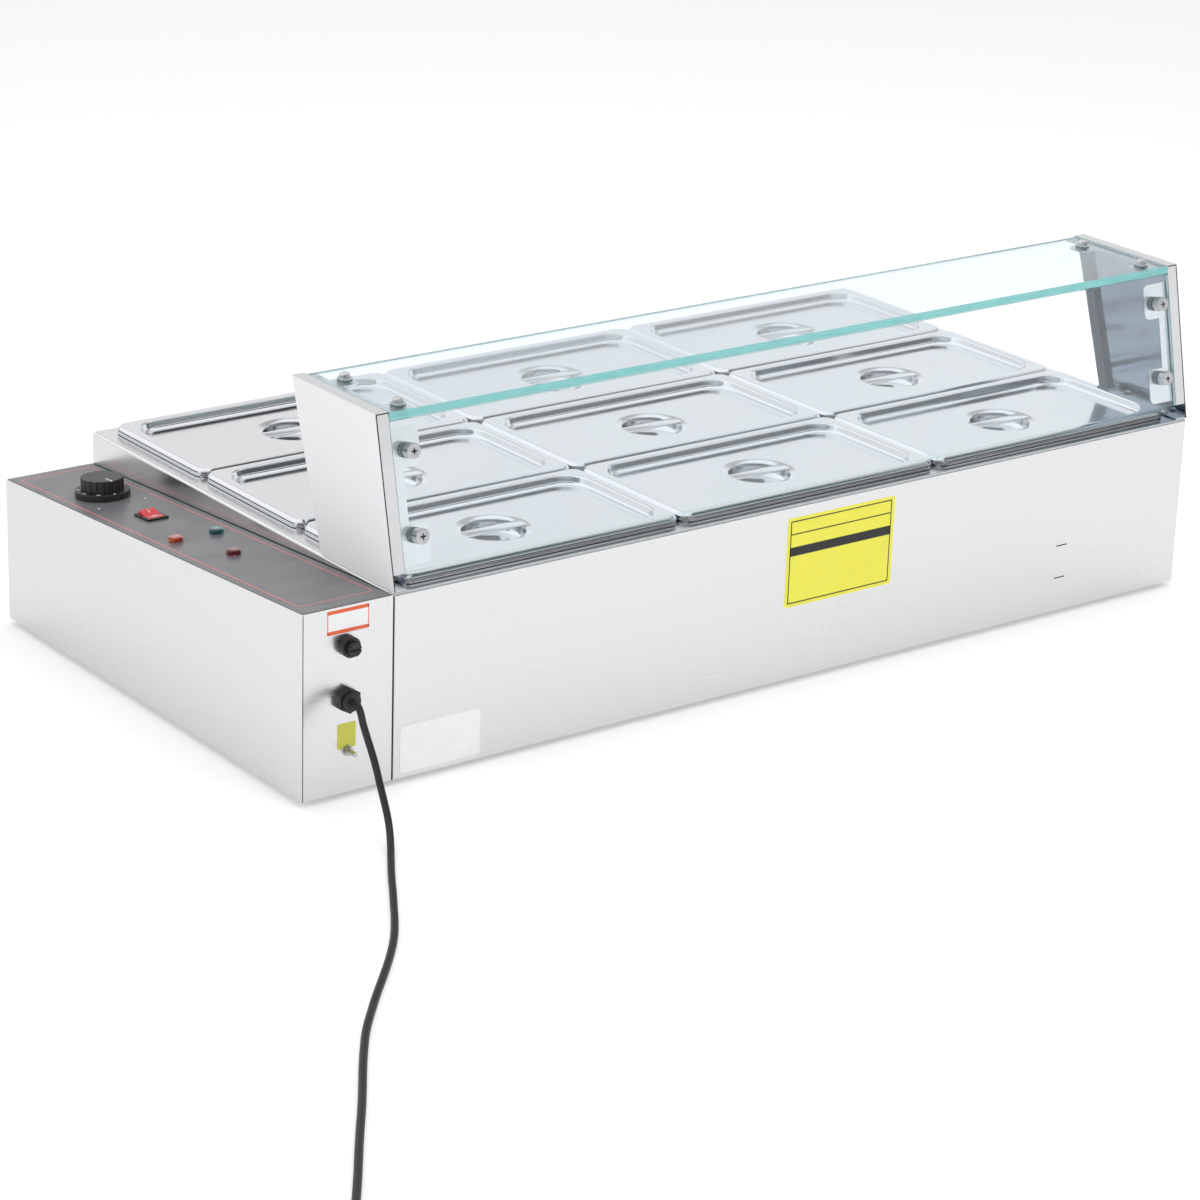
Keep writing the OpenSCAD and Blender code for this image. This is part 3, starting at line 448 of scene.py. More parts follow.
class Effects:
    """Surface effects that several finishes share, each a node group built once."""

    @staticmethod
    def group(name: str, inputs: dict[str, float], outputs: Iterable[str]) -> tuple[bpy.types.NodeTree, bool]:
        """Find a group or start it.

        Args:
            name: The group's name.
            inputs: Its number inputs and their values.
            outputs: Its number outputs.

        Returns:
            The group, and whether it is new.
        """
        made = bpy.data.node_groups.get(name)
        if made is not None:
            return made, False
        made = bpy.data.node_groups.new(name, "ShaderNodeTree")
        made.interface.new_socket("Vector", in_out="INPUT", socket_type="NodeSocketVector")
        for key, value in inputs.items():
            socket = made.interface.new_socket(key, in_out="INPUT", socket_type="NodeSocketFloat")
            socket.default_value = value
        for key in outputs:
            made.interface.new_socket(key, in_out="OUTPUT", socket_type="NodeSocketFloat")
        return made, True

    @staticmethod
    def brushing() -> bpy.types.NodeTree:
        """Long fine streaks of a brushed sheet, along x, or along y on faces that look along x."""
        made, new = Effects.group("brushed_streaks", {"Along": 6.0, "Across": 420.0}, ["Streak", "Height"])
        if new:
            sheet = Sheet(made)
            enter = sheet.add_group_end("NodeGroupInput")
            leave = sheet.add_group_end("NodeGroupOutput")
            normal = sheet.add("NewGeometry").outputs["Normal"]
            split = sheet.add("SeparateXYZ", {0: normal})
            side = sheet.math("GREATER_THAN", sheet.math("ABSOLUTE", split.outputs[0]), 0.6)
            values = []
            for runs_along_x in (True, False):
                along, across = enter.outputs["Along"], enter.outputs["Across"]
                scale = sheet.add(
                    "CombineXYZ",
                    {0: along if runs_along_x else across, 1: across if runs_along_x else along, 2: across},
                ).outputs[0]
                spot = sheet.add("VectorMath", {0: enter.outputs["Vector"], 1: scale}, operation="MULTIPLY")
                values.append(sheet.noise(spot.outputs[0], 1.0, 4.0, 0.62))
            mixed = sheet.add("Mix", {0: side, 2: values[0], 3: values[1]}, data_type="FLOAT").outputs[0]
            streak = sheet.spread(mixed, 0.0, 1.0, 0.28, 0.72)
            made.links.new(streak, leave.inputs["Streak"])
            made.links.new(mixed, leave.inputs["Height"])
        return made

    @staticmethod
    def handling() -> bpy.types.NodeTree:
        """Broad smudges and a few fine specks, as wiped metal and glass have."""
        made, new = Effects.group("handling_marks", {"Size": 9.0}, ["Smudge", "Speck"])
        if new:
            sheet = Sheet(made)
            enter = sheet.add_group_end("NodeGroupInput")
            leave = sheet.add_group_end("NodeGroupOutput")
            spot = sheet.add("VectorMath", {0: enter.outputs[0], 1: (1.0, 1.6, 1.3)}, operation="MULTIPLY")
            broad = sheet.add(
                "TexNoise",
                {"Vector": spot.outputs[0], "Scale": enter.outputs["Size"], "Detail": 3.0, "Distortion": 0.6},
            ).outputs[0]
            fine = sheet.noise(spot.outputs[0], 310.0, 2.0)
            made.links.new(sheet.spread(broad, 0.0, 1.0, 0.35, 0.7), leave.inputs["Smudge"])
            made.links.new(sheet.spread(fine, 0.0, 1.0, 0.62, 0.75), leave.inputs["Speck"])
        return made

    @staticmethod
    def moulding() -> bpy.types.NodeTree:
        """Fine pebbled skin of moulded plastic or rubber."""
        made, new = Effects.group("moulded_skin", {"Grain": 1500.0}, ["Height", "Mottle"])
        if new:
            sheet = Sheet(made)
            enter = sheet.add_group_end("NodeGroupInput")
            leave = sheet.add_group_end("NodeGroupOutput")
            cells = sheet.add(
                "TexVoronoi",
                {"Vector": enter.outputs[0], "Scale": enter.outputs["Grain"], "Randomness": 0.9},
                feature="SMOOTH_F1",
            ).outputs[0]
            mottle = sheet.noise(enter.outputs[0], 55.0, 3.0)
            made.links.new(cells, leave.inputs["Height"])
            made.links.new(mottle, leave.inputs["Mottle"])
        return made


@dataclass(frozen=True)
class Finish:
    """What every finish has: a name, and a material made from its values."""

    name: str

    def material(self) -> bpy.types.Material:
        """Give the finish's material, made the first time that it is asked for."""
        title = f"{self.name}_finish"
        made = bpy.data.materials.get(title)
        if made is None:
            made = bpy.data.materials.new(title)
            made.use_nodes = True
            made.node_tree.nodes.clear()
            sheet = Sheet(made.node_tree)
            end = sheet.add("OutputMaterial")
            self.lay(sheet, sheet.add("TexCoord").outputs["Object"], end)
        return made

    def lay(self, sheet: Sheet, spot: Socket, end: bpy.types.Node) -> None:
        """Lay the finish's nodes; each finish has its own."""
        raise NotImplementedError

    @staticmethod
    def effect(sheet: Sheet, tree: bpy.types.NodeTree, given: dict) -> bpy.types.Node:
        """Place a shared effect in a material.

        Args:
            sheet: The material's sheet.
            tree: The effect's node group.
            given: Values for its inputs.

        Returns:
            The group node.
        """
        made = sheet.tree.nodes.new("ShaderNodeGroup")
        made.node_tree = tree
        for key, value in given.items():
            if isinstance(value, bpy.types.NodeSocket):
                sheet.tree.links.new(value, made.inputs[key])
            else:
                made.inputs[key].default_value = value
        return made

    @staticmethod
    def bump(sheet: Sheet, height: Socket, strength: float, distance: float) -> Socket:
        """Turn a height into a normal."""
        given = {"Strength": strength, "Distance": distance, "Height": height}
        return sheet.add("Bump", given).outputs[0]

    @staticmethod
    def shade(sheet: Sheet, end: bpy.types.Node, given: dict) -> bpy.types.Node:
        """Place the Principled shader and join it to the output."""
        shader = sheet.add("BsdfPrincipled", given)
        sheet.tree.links.new(shader.outputs[0], end.inputs["Surface"])
        return shader


@dataclass(frozen=True)
class BrushedSteel(Finish):
    """Stainless sheet with a brushed grain."""

    colour: Colour = tone(238, 238, 239)
    metallic: float = 1.0
    roughness: float = 0.25
    along: float = 6.0
    across: float = 420.0
    contrast: float = 0.008
    relief: float = 0.0006

    def lay(self, sheet: Sheet, spot: Socket, end: bpy.types.Node) -> None:
        """Streaks vary tone, gloss and relief; smudges vary gloss.

        Args:
            sheet: The material's sheet.
            spot: Object coordinates.
            end: The output node.
        """
        given = {"Vector": spot, "Along": self.along, "Across": self.across}
        grain = self.effect(sheet, Effects.brushing(), given)
        marks = self.effect(sheet, Effects.handling(), {"Vector": spot, "Size": 7.0})
        dark = tuple(c * (1 - self.contrast * 2) for c in self.colour)
        rough = sheet.math(
            "ADD",
            sheet.spread(grain.outputs["Streak"], self.roughness - 0.015, self.roughness + 0.02),
            sheet.spread(marks.outputs["Smudge"], -0.01, 0.02),
        )
        self.shade(sheet, end, {
            "Base Color": sheet.blend(grain.outputs["Streak"], dark, self.colour),
            "Metallic": self.metallic,
            "Roughness": rough,
            "Normal": self.bump(sheet, grain.outputs["Height"], self.relief, 0.0004),
        })


@dataclass(frozen=True)
class PressedSteel(Finish):
    """Polished sheet as it leaves the press, with faint drawing marks."""

    colour: Colour = tone(228, 229, 231)
    roughness: float = 0.11
    ripple: float = 0.03

    def lay(self, sheet: Sheet, spot: Socket, end: bpy.types.Node) -> None:
        """A slow ripple bends reflections; fine scuffs and smudges vary gloss.

        Args:
            sheet: The material's sheet.
            spot: Object coordinates.
            end: The output node.
        """
        marks = self.effect(sheet, Effects.handling(), {"Vector": spot, "Size": 11.0})
        grain = self.effect(sheet, Effects.brushing(), {"Vector": spot, "Along": 9.0, "Across": 500.0})
        ripple = sheet.noise(spot, 14.0, 2.0)
        rough = sheet.math(
            "ADD",
            sheet.spread(marks.outputs["Smudge"], self.roughness - 0.02, self.roughness + 0.03),
            sheet.spread(grain.outputs["Streak"], 0.0, 0.03),
        )
        dark = tuple(c * 0.93 for c in self.colour)
        self.shade(sheet, end, {
            "Base Color": sheet.blend(marks.outputs["Speck"], self.colour, dark),
            "Metallic": 1.0,
            "Roughness": rough,
            "Normal": self.bump(sheet, ripple, self.ripple, 0.004),
        })


@dataclass(frozen=True)
class FloatGlass(Finish):
    """Clear float glass, teal where it is seen edge on."""

    tint: Colour = (0.4, 0.74, 0.95)
    density: float = 18.0

    def lay(self, sheet: Sheet, spot: Socket, end: bpy.types.Node) -> None:
        """Glass that lets lamps through, with its colour in its depth.

        Args:
            sheet: The material's sheet.
            spot: Object coordinates.
            end: The output node.
        """
        marks = self.effect(sheet, Effects.handling(), {"Vector": spot, "Size": 8.0})
        shader = sheet.add("BsdfPrincipled", {
            "Base Color": sheet.blend(marks.outputs["Smudge"], (0.99, 0.997, 1.0), (0.975, 0.988, 0.995)),
            "Roughness": 0.0,
            "IOR": 1.5,
            "Transmission Weight": 1.0,
        })
        clear = sheet.add("BsdfTransparent", {"Color": (0.9, 0.97, 0.96, 1.0)})
        shadow = sheet.add("LightPath").outputs["Is Shadow Ray"]
        mixed = sheet.add("MixShader", {0: shadow, 1: shader.outputs[0], 2: clear.outputs[0]})
        depth = sheet.add("VolumeAbsorption", {"Color": (*self.tint, 1.0), "Density": self.density})
        sheet.tree.links.new(mixed.outputs[0], end.inputs["Surface"])
        sheet.tree.links.new(depth.outputs[0], end.inputs["Volume"])


@dataclass(frozen=True)
class GroundEdge(Finish):
    """Ground and polished edge of a pane, where the glass shows its own teal."""

    colour: Colour = tone(172, 236, 236)
    deep: Colour = tone(112, 204, 200)

    def lay(self, sheet: Sheet, spot: Socket, end: bpy.types.Node) -> None:
        """The grinding leaves fine lines across a translucent edge.

        Args:
            sheet: The material's sheet.
            spot: Object coordinates.
            end: The output node.
        """
        lines = sheet.noise(sheet.place(spot, (40.0, 900.0, 900.0)), 1.0, 2.0)
        self.shade(sheet, end, {
            "Base Color": sheet.blend(lines, self.deep, self.colour),
            "Roughness": sheet.spread(lines, 0.12, 0.24),
            "IOR": 1.5,
            "Transmission Weight": 0.35,
            "Coat Weight": 0.5,
            "Normal": self.bump(sheet, lines, 0.05, 0.0002),
        })


@dataclass(frozen=True)
class Moulded(Finish):
    """Moulded plastic or rubber with a pebbled skin."""

    colour: Colour = tone(30, 30, 32)
    roughness: float = 0.42
    grain: float = 1500.0
    relief: float = 0.12
    coat: float = 0.0

    def lay(self, sheet: Sheet, spot: Socket, end: bpy.types.Node) -> None:
        """The skin gives relief, and a mottle varies tone and gloss.

        Args:
            sheet: The material's sheet.
            spot: Object coordinates.
            end: The output node.
        """
        skin = self.effect(sheet, Effects.moulding(), {"Vector": spot, "Grain": self.grain})
        pale = tuple(min(1.0, c * 1.25 + 0.006) for c in self.colour)
        self.shade(sheet, end, {
            "Base Color": sheet.blend(skin.outputs["Mottle"], self.colour, pale),
            "Roughness": sheet.spread(skin.outputs["Mottle"], self.roughness - 0.05, self.roughness + 0.08),
            "Coat Weight": self.coat,
            "Normal": self.bump(sheet, skin.outputs["Height"], self.relief, 0.0002),
        })


@dataclass(frozen=True)
class Printed(Finish):
    """Printed film or sticker, satin, with a faint orange peel."""

    colour: Colour = tone(108, 108, 111)
    roughness: float = 0.32

    def lay(self, sheet: Sheet, spot: Socket, end: bpy.types.Node) -> None:
        """Print varies a little in tone, and rubbed places are glossier.

        Args:
            sheet: The material's sheet.
            spot: Object coordinates.
            end: The output node.
        """
        marks = self.effect(sheet, Effects.handling(), {"Vector": spot, "Size": 16.0})
        skin = self.effect(sheet, Effects.moulding(), {"Vector": spot, "Grain": 900.0})
        dark = tuple(c * 0.9 for c in self.colour)
        self.shade(sheet, end, {
            "Base Color": sheet.blend(skin.outputs["Mottle"], dark, self.colour),
            "Roughness": sheet.spread(marks.outputs["Smudge"], self.roughness + 0.05, self.roughness - 0.08),
            "Normal": self.bump(sheet, skin.outputs["Height"], 0.04, 0.0002),
        })


@dataclass(frozen=True)
class LampLens(Finish):
    """Coloured lens whose inside is cut into small prisms."""

    colour: Colour = tone(20, 150, 150)
    painted_glint: Colour = tone(190, 240, 235)
    glow: float = 0.02

    def lay(self, sheet: Sheet, spot: Socket, end: bpy.types.Node) -> None:
        """Prisms show as lighter and darker cells under a glossy skin, and the brightest cells take a painted
        glint.

        Args:
            sheet: The material's sheet.
            spot: Object coordinates.
            end: The output node.
        """
        cells = sheet.add("TexVoronoi", {"Vector": spot, "Scale": 420.0}, feature="F1")
        dark = tuple(c * 0.45 for c in self.colour)
        share = sheet.spread(cells.outputs["Color"], 0.0, 1.0, 0.2, 0.9)
        body = sheet.blend(share, dark, self.colour)
        # Painted glint: the brightest cells blend towards a pale colour.
        lit = sheet.blend(sheet.spread(share, 0.0, 0.8, 0.78, 1.0), body, self.painted_glint)
        self.shade(sheet, end, {
            "Base Color": lit,
            "Roughness": sheet.spread(share, 0.08, 0.2),
            "Coat Weight": 0.7,
            "Emission Color": lit,
            "Emission Strength": self.glow,
            "Normal": self.bump(sheet, cells.outputs["Distance"], 0.3, 0.0006),
        })


@dataclass(frozen=True)
class TurnedMetal(Finish):
    """Turned, plated or drawn metal, with fine rings and handling marks."""

    colour: Colour = tone(226, 226, 228)
    roughness: float = 0.3
    stain: Colour = tone(196, 194, 190)

    def lay(self, sheet: Sheet, spot: Socket, end: bpy.types.Node) -> None:
        """Stains vary tone and gloss, and tool marks give relief.

        Args:
            sheet: The material's sheet.
            spot: Object coordinates.
            end: The output node.
        """
        smudge = self.effect(sheet, Effects.handling(), {"Vector": spot, "Size": 60.0}).outputs["Smudge"]
        tool = sheet.noise(sheet.place(spot, (900.0, 900.0, 3600.0)), 1.0, 2.0)
        self.shade(sheet, end, {
            "Base Color": sheet.blend(sheet.spread(smudge, 0.0, 0.5), self.colour, self.stain),
            "Metallic": 1.0,
            "Roughness": sheet.spread(smudge, self.roughness, self.roughness + 0.14),
            "Normal": self.bump(sheet, tool, 0.06, 0.0002),
        })


class Steel(Enum):
    """The stainless finishes."""

    SHELL = BrushedSteel("stainless_outer")
    INNER = BrushedSteel("stainless_inner", colour=tone(206, 208, 211), roughness=0.26, relief=0.06)
    # Outer faces of the guard's side panels: a near-white, nearly matte copy of the steel, whose brightness
    # is painted light.
    GUARD = BrushedSteel(
        "stainless_guard_lit", colour=tone(250, 250, 252), metallic=0.15, roughness=0.5, relief=0.01,
    )
    BRACKET = BrushedSteel(
        "stainless_bracket", colour=tone(248, 245, 243), metallic=0.9, roughness=0.22, relief=0.0,
    )
    STRIP = BrushedSteel("stainless_strip", colour=tone(212, 212, 213), metallic=0.8, roughness=0.17)
    # Inner faces of the guard's side panels: a darker, bluish copy of the steel that paints the dark
    # reflection they show.
    MIRROR = PressedSteel("stainless_mirror_shaded", colour=tone(158, 170, 182), roughness=0.1, ripple=0.05)
    PAN = PressedSteel("pan_steel", colour=tone(214, 216, 219), roughness=0.18)
    LID = PressedSteel("lid_steel")
    BOLT = TurnedMetal("bright_fasteners")
    SPINDLE = TurnedMetal("spindle_steel", colour=tone(196, 197, 199))
    PLATED = TurnedMetal("plated_stud", colour=tone(206, 205, 202), stain=tone(170, 168, 160))
    PIN = TurnedMetal("plug_pin_metal", colour=tone(212, 212, 208), roughness=0.18)
    BRASS = TurnedMetal("brass_union", colour=tone(214, 180, 108), stain=tone(150, 112, 62), roughness=0.28)
    COPPER = TurnedMetal("copper_bulb", colour=tone(206, 142, 104), stain=tone(140, 88, 66), roughness=0.3)
    SHEATH = TurnedMetal("element_sheath", colour=tone(128, 126, 128), stain=tone(86, 78, 84), roughness=0.42)


class Plastic(Enum):
    """The plastics, rubbers and films."""

    KNOB = Moulded("knob_plastic", colour=tone(26, 26, 28), roughness=0.36, relief=0.1)
    SWITCH = Moulded("switch_black", colour=tone(22, 22, 24), roughness=0.32)
    ROCKER = Moulded("rocker_red", colour=tone(196, 34, 44), roughness=0.2, relief=0.03, coat=0.5)
    FUSE = Moulded("fuse_black", colour=tone(28, 28, 29), roughness=0.38)
    GLAND = Moulded("gland_black", colour=tone(26, 26, 27), roughness=0.4)
    BODY = Moulded("thermostat_body", colour=tone(214, 208, 190), roughness=0.5)
    IVORY = Moulded("terminal_ivory", colour=tone(226, 222, 208), roughness=0.45)
    CORD = Moulded("cord_rubber", colour=tone(24, 24, 25), roughness=0.5, grain=1100.0)
    PLUG = Moulded("plug_rubber", colour=tone(24, 24, 25), roughness=0.46, grain=900.0)
    TIE = Moulded("tie_black", colour=tone(34, 34, 36), roughness=0.55)
    FOOT = Moulded("foot_rubber", colour=tone(30, 30, 30), roughness=0.62, grain=800.0)
    GASKET = Moulded("gasket_rubber", colour=tone(22, 22, 24), roughness=0.6, grain=900.0)
    WASHER = Moulded("washer_rubber", colour=tone(168, 176, 176), roughness=0.3, relief=0.05)
    FILM = Printed("panel_grey")
    RED_LINE = Printed("panel_line", colour=tone(222, 128, 118), roughness=0.4)
    WHITE_INK = Printed("white_ink", colour=tone(236, 236, 234), roughness=0.45)
    BLACK_INK = Printed("black_ink", colour=tone(34, 34, 36), roughness=0.42)
    YELLOW = Printed("sticker_yellow", colour=tone(246, 240, 84), roughness=0.4)
    WHITE = Printed("sticker_white", colour=tone(250, 250, 250), roughness=0.4)
    ORANGE = Printed("sticker_orange", colour=tone(236, 104, 60), roughness=0.4)
    GREEN = Printed("sticker_lime", colour=tone(206, 206, 84), roughness=0.4)
    # Painted shade: a flat dark finish laid where narrow gaps, recess bottoms and folds stand in shadow.
    SEAM = Printed("seam_shadow", colour=tone(44, 44, 46), roughness=0.6)
    PLATE = Printed("sticker_silver", colour=tone(250, 250, 251), roughness=0.3)


class Lens(Enum):
    """The indicator lenses."""

    GREEN = LampLens("lamp_green", colour=tone(0, 84, 92), painted_glint=tone(90, 190, 190))
    ORANGE = LampLens("lamp_orange", colour=tone(186, 62, 12), painted_glint=tone(248, 180, 120))
    RED = LampLens("lamp_red", colour=tone(104, 2, 24), painted_glint=tone(190, 66, 90))


GLASS = FloatGlass("clear_glass")
GLASS_EDGE = GroundEdge("glass_edge")
FUSE_GLASS = FloatGlass("fuse_glass", tint=(0.9, 0.95, 0.95), density=6.0)


def dress(piece: bpy.types.Object, finish: Finish) -> None:
    """Give a whole object one finish.

    Args:
        piece: The object, a CAD node or a new piece.
        finish: The finish.
    """
    material = finish.material()
    if piece.type == "MESH":
        piece.data.polygons.foreach_set("material_index", [0] * len(piece.data.polygons))
    if not piece.material_slots:
        piece.data.materials.append(material)
    for slot in piece.material_slots:
        slot.material = material


def dress_nodes(finishes: dict[str, Union[Steel, Plastic]]) -> None:
    """Give CAD nodes their finishes.

    Args:
        finishes: The finish of each node, by the node's name.
    """
    for node, finish in finishes.items():
        dress(frame_nodes()[node], finish.value)


def dress_faces(
    piece: bpy.types.Object, finish: Finish, wanted: Callable[[bmesh.types.BMFace], bool],
) -> None:
    """Give the faces that a test names a finish of their own.

    Args:
        piece: The object, dressed already.
        finish: The faces' finish.
        wanted: The test that a face passes.
    """
    piece.data.materials.append(finish.material())
    Bench.edit(piece)
    Bench.pick_faces(piece, wanted)
    piece.active_material_index = len(piece.material_slots) - 1
    bpy.ops.object.material_slot_assign()
    Bench.done()


def fit(piece: bpy.types.Object, finish: Finish, body: str) -> None:
    """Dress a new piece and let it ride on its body.

    Args:
        piece: The new piece.
        finish: Its finish.
        body: The CAD body that it moves with.
    """
    dress(piece, finish)
    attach(piece, body)
    log.info("%s rides on %s", piece.name, body)


def soften(node: str, name: str, width: float, finish: Finish, body: str) -> bpy.types.Object:
    """Put a softened and dressed copy in a CAD node's place.

    Args:
        node: The CAD node.
        name: The new piece's name.
        width: Width of the rounding; 0 keeps the edges.
        finish: The piece's finish.
        body: The CAD body that it moves with.

    Returns:
        The new piece.
    """
    piece = Bench.softened(node, name, width)
    fit(piece, finish, body)
    return piece


@dataclass
class PhotoCamera:
    """The camera that took the photo, found from the table's straight edges."""

    azimuth: float = -37.26
    elevation: float = 20.55
    roll: float = 1.90
    lens: float = 109.71
    sensor: float = 36.0
    clip: tuple[float, float] = (0.05, 60.0)
    eye: Point = (-1736.80082, -2591.91406, 1352.65179)

    def build(self, body: BodyFrame) -> bpy.types.Object:
        """Set up the camera and make it the scene's own.

        Args:
            body: The table's frame.

        Returns:
            The camera.
        """
        a, e, r = (math.radians(v) for v in (self.azimuth, self.elevation, self.roll))
        back = Vector((math.sin(a) * math.cos(e), -math.cos(a) * math.cos(e), math.sin(e)))
        level = Vector((math.cos(a), math.sin(a), 0.0))
        upright = back.cross(level)
        right = math.cos(r) * level + math.sin(r) * upright
        up = math.cos(r) * upright - math.sin(r) * level
        data = bpy.data.cameras.new("photo_camera")
        data.lens = self.lens
        data.sensor_width = self.sensor
        data.clip_start, data.clip_end = self.clip
        camera = bpy.data.objects.new("photo_camera", data)
        bpy.context.scene.collection.objects.link(camera)
        turn = Matrix((right, up, back)).transposed().to_4x4()
        camera.matrix_world = Matrix.Translation(body.at(*self.eye)) @ turn
        bpy.context.scene.camera = camera
        return camera


@dataclass
class Studio:
    """Plain pale floor, white surroundings and soft light."""

    floor_half: float = 30.0
    ambient: float = 0.7
    floor_colour: Colour = (0.8, 0.8, 0.8)
    floor_lift: float = 0.3
    metal_lift: float = 0.1
    far_levels: tuple[tuple[float, float], ...] = (
        (0.0, 0.8), (0.5, 1.0), (0.63, 0.95), (0.69, 0.88), (0.73, 0.52), (0.83, 0.48), (0.86, 1.1),
        (1.0, 1.1),
    )
    near_levels: tuple[tuple[float, float], ...] = (
        (0.0, 1.6), (0.52, 1.6), (0.545, 0.12), (0.64, 0.05), (0.69, 0.1), (0.72, 0.75), (0.81, 0.85),
        (0.84, 0.06), (0.915, 0.06), (0.95, 1.1), (1.0, 1.1),
    )
    left_levels: tuple[tuple[float, float], ...] = (
        (0.0, 0.8), (0.5, 0.95), (0.62, 0.8), (0.7, 1.15), (0.85, 1.15), (1.0, 1.1),
    )

    def build(self) -> None:
        """Set the plain view and make the world, the floor and the lamps."""
        bpy.context.scene.view_settings.view_transform = "Standard"
        self.make_world()
        self.make_floor()
        self.make_lamps()

    def make_world(self) -> None:
        """White for the camera, a soft gradient for metal, and an even light for the rest."""
        world = bpy.data.worlds.new("studio")
        bpy.context.scene.world = world
        world.use_nodes = True
        world.node_tree.nodes.clear()
        sheet = Sheet(world.node_tree)
        path = sheet.add("LightPath")
        spot = sheet.add("TexCoord").outputs["Generated"]
        split = sheet.add("SeparateXYZ", {0: spot})
        height = sheet.spread(split.outputs[2], 0.0, 1.0, -1.0, 1.0)
        far = self.make_ramp(sheet, height, self.far_levels)
        near = self.make_ramp(sheet, height, self.near_levels)
        left = self.make_ramp(sheet, height, self.left_levels)
        across = sheet.blend(sheet.spread(split.outputs[0], 1.0, 0.0, -0.15, 0.3), far, left)
        sky = sheet.blend(sheet.spread(split.outputs[1], 1.0, 0.0, -0.33, -0.2), across, near)
        white = sheet.add("Background", {"Color": (1.0, 1.0, 1.0, 1.0), "Strength": 1.0})
        shine = sheet.add("Background", {"Color": sky, "Strength": 1.0})
        even = sheet.add("Background", {"Color": (0.985, 0.99, 1.0, 1.0), "Strength": self.ambient})
        seen, mirrored = self.paths(sheet, path)
        metal = sheet.add("MixShader", {0: mirrored, 1: even.outputs[0], 2: shine.outputs[0]})
        whole = sheet.add("MixShader", {0: seen, 1: metal.outputs[0], 2: white.outputs[0]})
        end = sheet.add("OutputWorld")
        world.node_tree.links.new(whole.outputs[0], end.inputs["Surface"])

    @staticmethod
    def paths(sheet: Sheet, path: bpy.types.Node) -> tuple[Socket, Socket]:
        """Tell what the camera sees, also through glass, from what metal mirrors, also through glass.

        Args:
            sheet: The sheet of the material or world.
            path: Its Light Path node.

        Returns:
            The masks of the seen and of the mirrored rays.
        """
        through = path.outputs["Is Transmission Ray"]
        bounced = sheet.math("GREATER_THAN", path.outputs["Glossy Depth"], 0.5)
        straight = sheet.math("MULTIPLY", through, sheet.math("SUBTRACT", 1.0, bounced))
        seen = sheet.math("ADD", path.outputs["Is Camera Ray"], straight, clamp=True)
        mirrored = sheet.math(
            "ADD", path.outputs["Is Glossy Ray"], sheet.math("MULTIPLY", through, bounced), clamp=True
        )
        return seen, mirrored

    def make_ramp(self, sheet: Sheet, height: Socket, levels: Sequence[tuple[float, float]]) -> Socket:
        """Turn the height of a direction into how bright metal sees it there.

        Args:
            sheet: The world's sheet.
            height: The direction's height, 0 straight down and 1 straight up.
            levels: Pairs of height and brightness.

        Returns:
            The socket with the colour.
        """
        ramp = sheet.add("ValToRGB", {0: height})
        elements = ramp.color_ramp.elements
        elements[0].position, elements[1].position = levels[0][0], levels[-1][0]
        for position, _ in levels[1:-1]:
            elements.new(position)
        for element, (_, level) in zip(elements, levels):
            element.color = (level * 0.985, level * 0.995, level, 1.0)
        return ramp.outputs[0]

    def make_floor(self) -> None:
        """A wide floor that looks white and keeps the table's shadow."""
        Bench.clear()
        bpy.ops.mesh.primitive_plane_add(size=2 * self.floor_half, location=(0.0, 0.0, 0.0))
        floor = Bench.take_new("studio_floor")
        material = bpy.data.materials.new("studio_floor")
        material.use_nodes = True
        material.node_tree.nodes.clear()
        sheet = Sheet(material.node_tree)
        path = sheet.add("LightPath")
        seen, mirrored = self.paths(sheet, path)
        lift = sheet.math(
            "ADD",
            sheet.math("MULTIPLY", seen, self.floor_lift),
            sheet.math("MULTIPLY", mirrored, self.metal_lift),
        )
        shader = sheet.add("BsdfPrincipled", {
            "Base Color": (*self.floor_colour, 1.0),
            "Roughness": 0.9,
            "Emission Color": (1.0, 1.0, 1.0, 1.0),
            "Emission Strength": lift,
        })
        end = sheet.add("OutputMaterial")
        sheet.tree.links.new(shader.outputs[0], end.inputs["Surface"])
        floor.data.materials.append(material)

    def make_lamps(self) -> None:
        """Large soft lamps: over the table, from the left and from the customer's side."""
        lamps = (
            ("lamp_over", (0.2, 0.1, 2.6), (0.0, 0.0, 0.1), 2.4, 26.0),
            ("lamp_left", (-2.9, -0.9, 1.3), (0.0, 0.0, 0.1), 1.6, 17.0),
            ("lamp_front", (0.9, -3.0, 1.5), (0.0, 0.0, 0.1), 1.8, 23.0),
        )
        for name, place, aim, size, power in lamps:
            data = bpy.data.lights.new(name, "AREA")
            data.shape = "SQUARE"
            data.size = size
            data.energy = power
            lamp = bpy.data.objects.new(name, data)
            bpy.context.scene.collection.objects.link(lamp)
            lamp.visible_camera = lamp.visible_glossy = lamp.visible_transmission = False
            turn = (Vector(aim) - Vector(place)).to_track_quat("-Z", "Y")
            lamp.matrix_world = Matrix.Translation(place) @ turn.to_matrix().to_4x4()


LEAD: tuple[Point, ...] = (
    (-52, -13, 93), (-52.5, -21, 92.5), (-55, -29.5, 89.5), (-58, -38, 83), (-60, -47, 75),
    (-61.5, -57, 64.5), (-63, -67, 52.5), (-65, -77, 39.5), (-67, -87, 27), (-70, -98, 15),
    (-75, -109, 6), (-82, -121, 0), (-91, -135, -2.5), (-102, -152, -2.5), (-116, -174, -2.5),
    (-130, -197, -2.5), (-145, -221, -2.5), (-162, -248, -2.5), (-180, -274, -2.5),
    (-201, -300, -2.5), (-225, -327, -2.5), (-249, -353, -2.5), (-272, -379, -2.5),
    (-293, -404, -2.5), (-312, -430, -2.5), (-330, -456, -2.5), (-348, -483, -2.5),
    (-367, -511, -2.5), (-386, -538, -2.5), (-404, -564, -2.5), (-421, -589, -2.5),
    (-437, -612, -2.5), (-451, -632, -2.2), (-464, -652, -1.8), (-471, -665, -1.5),
    (-475, -678, -1.5), (-476, -689, -1.5), (-476, -695, -1.5),
)
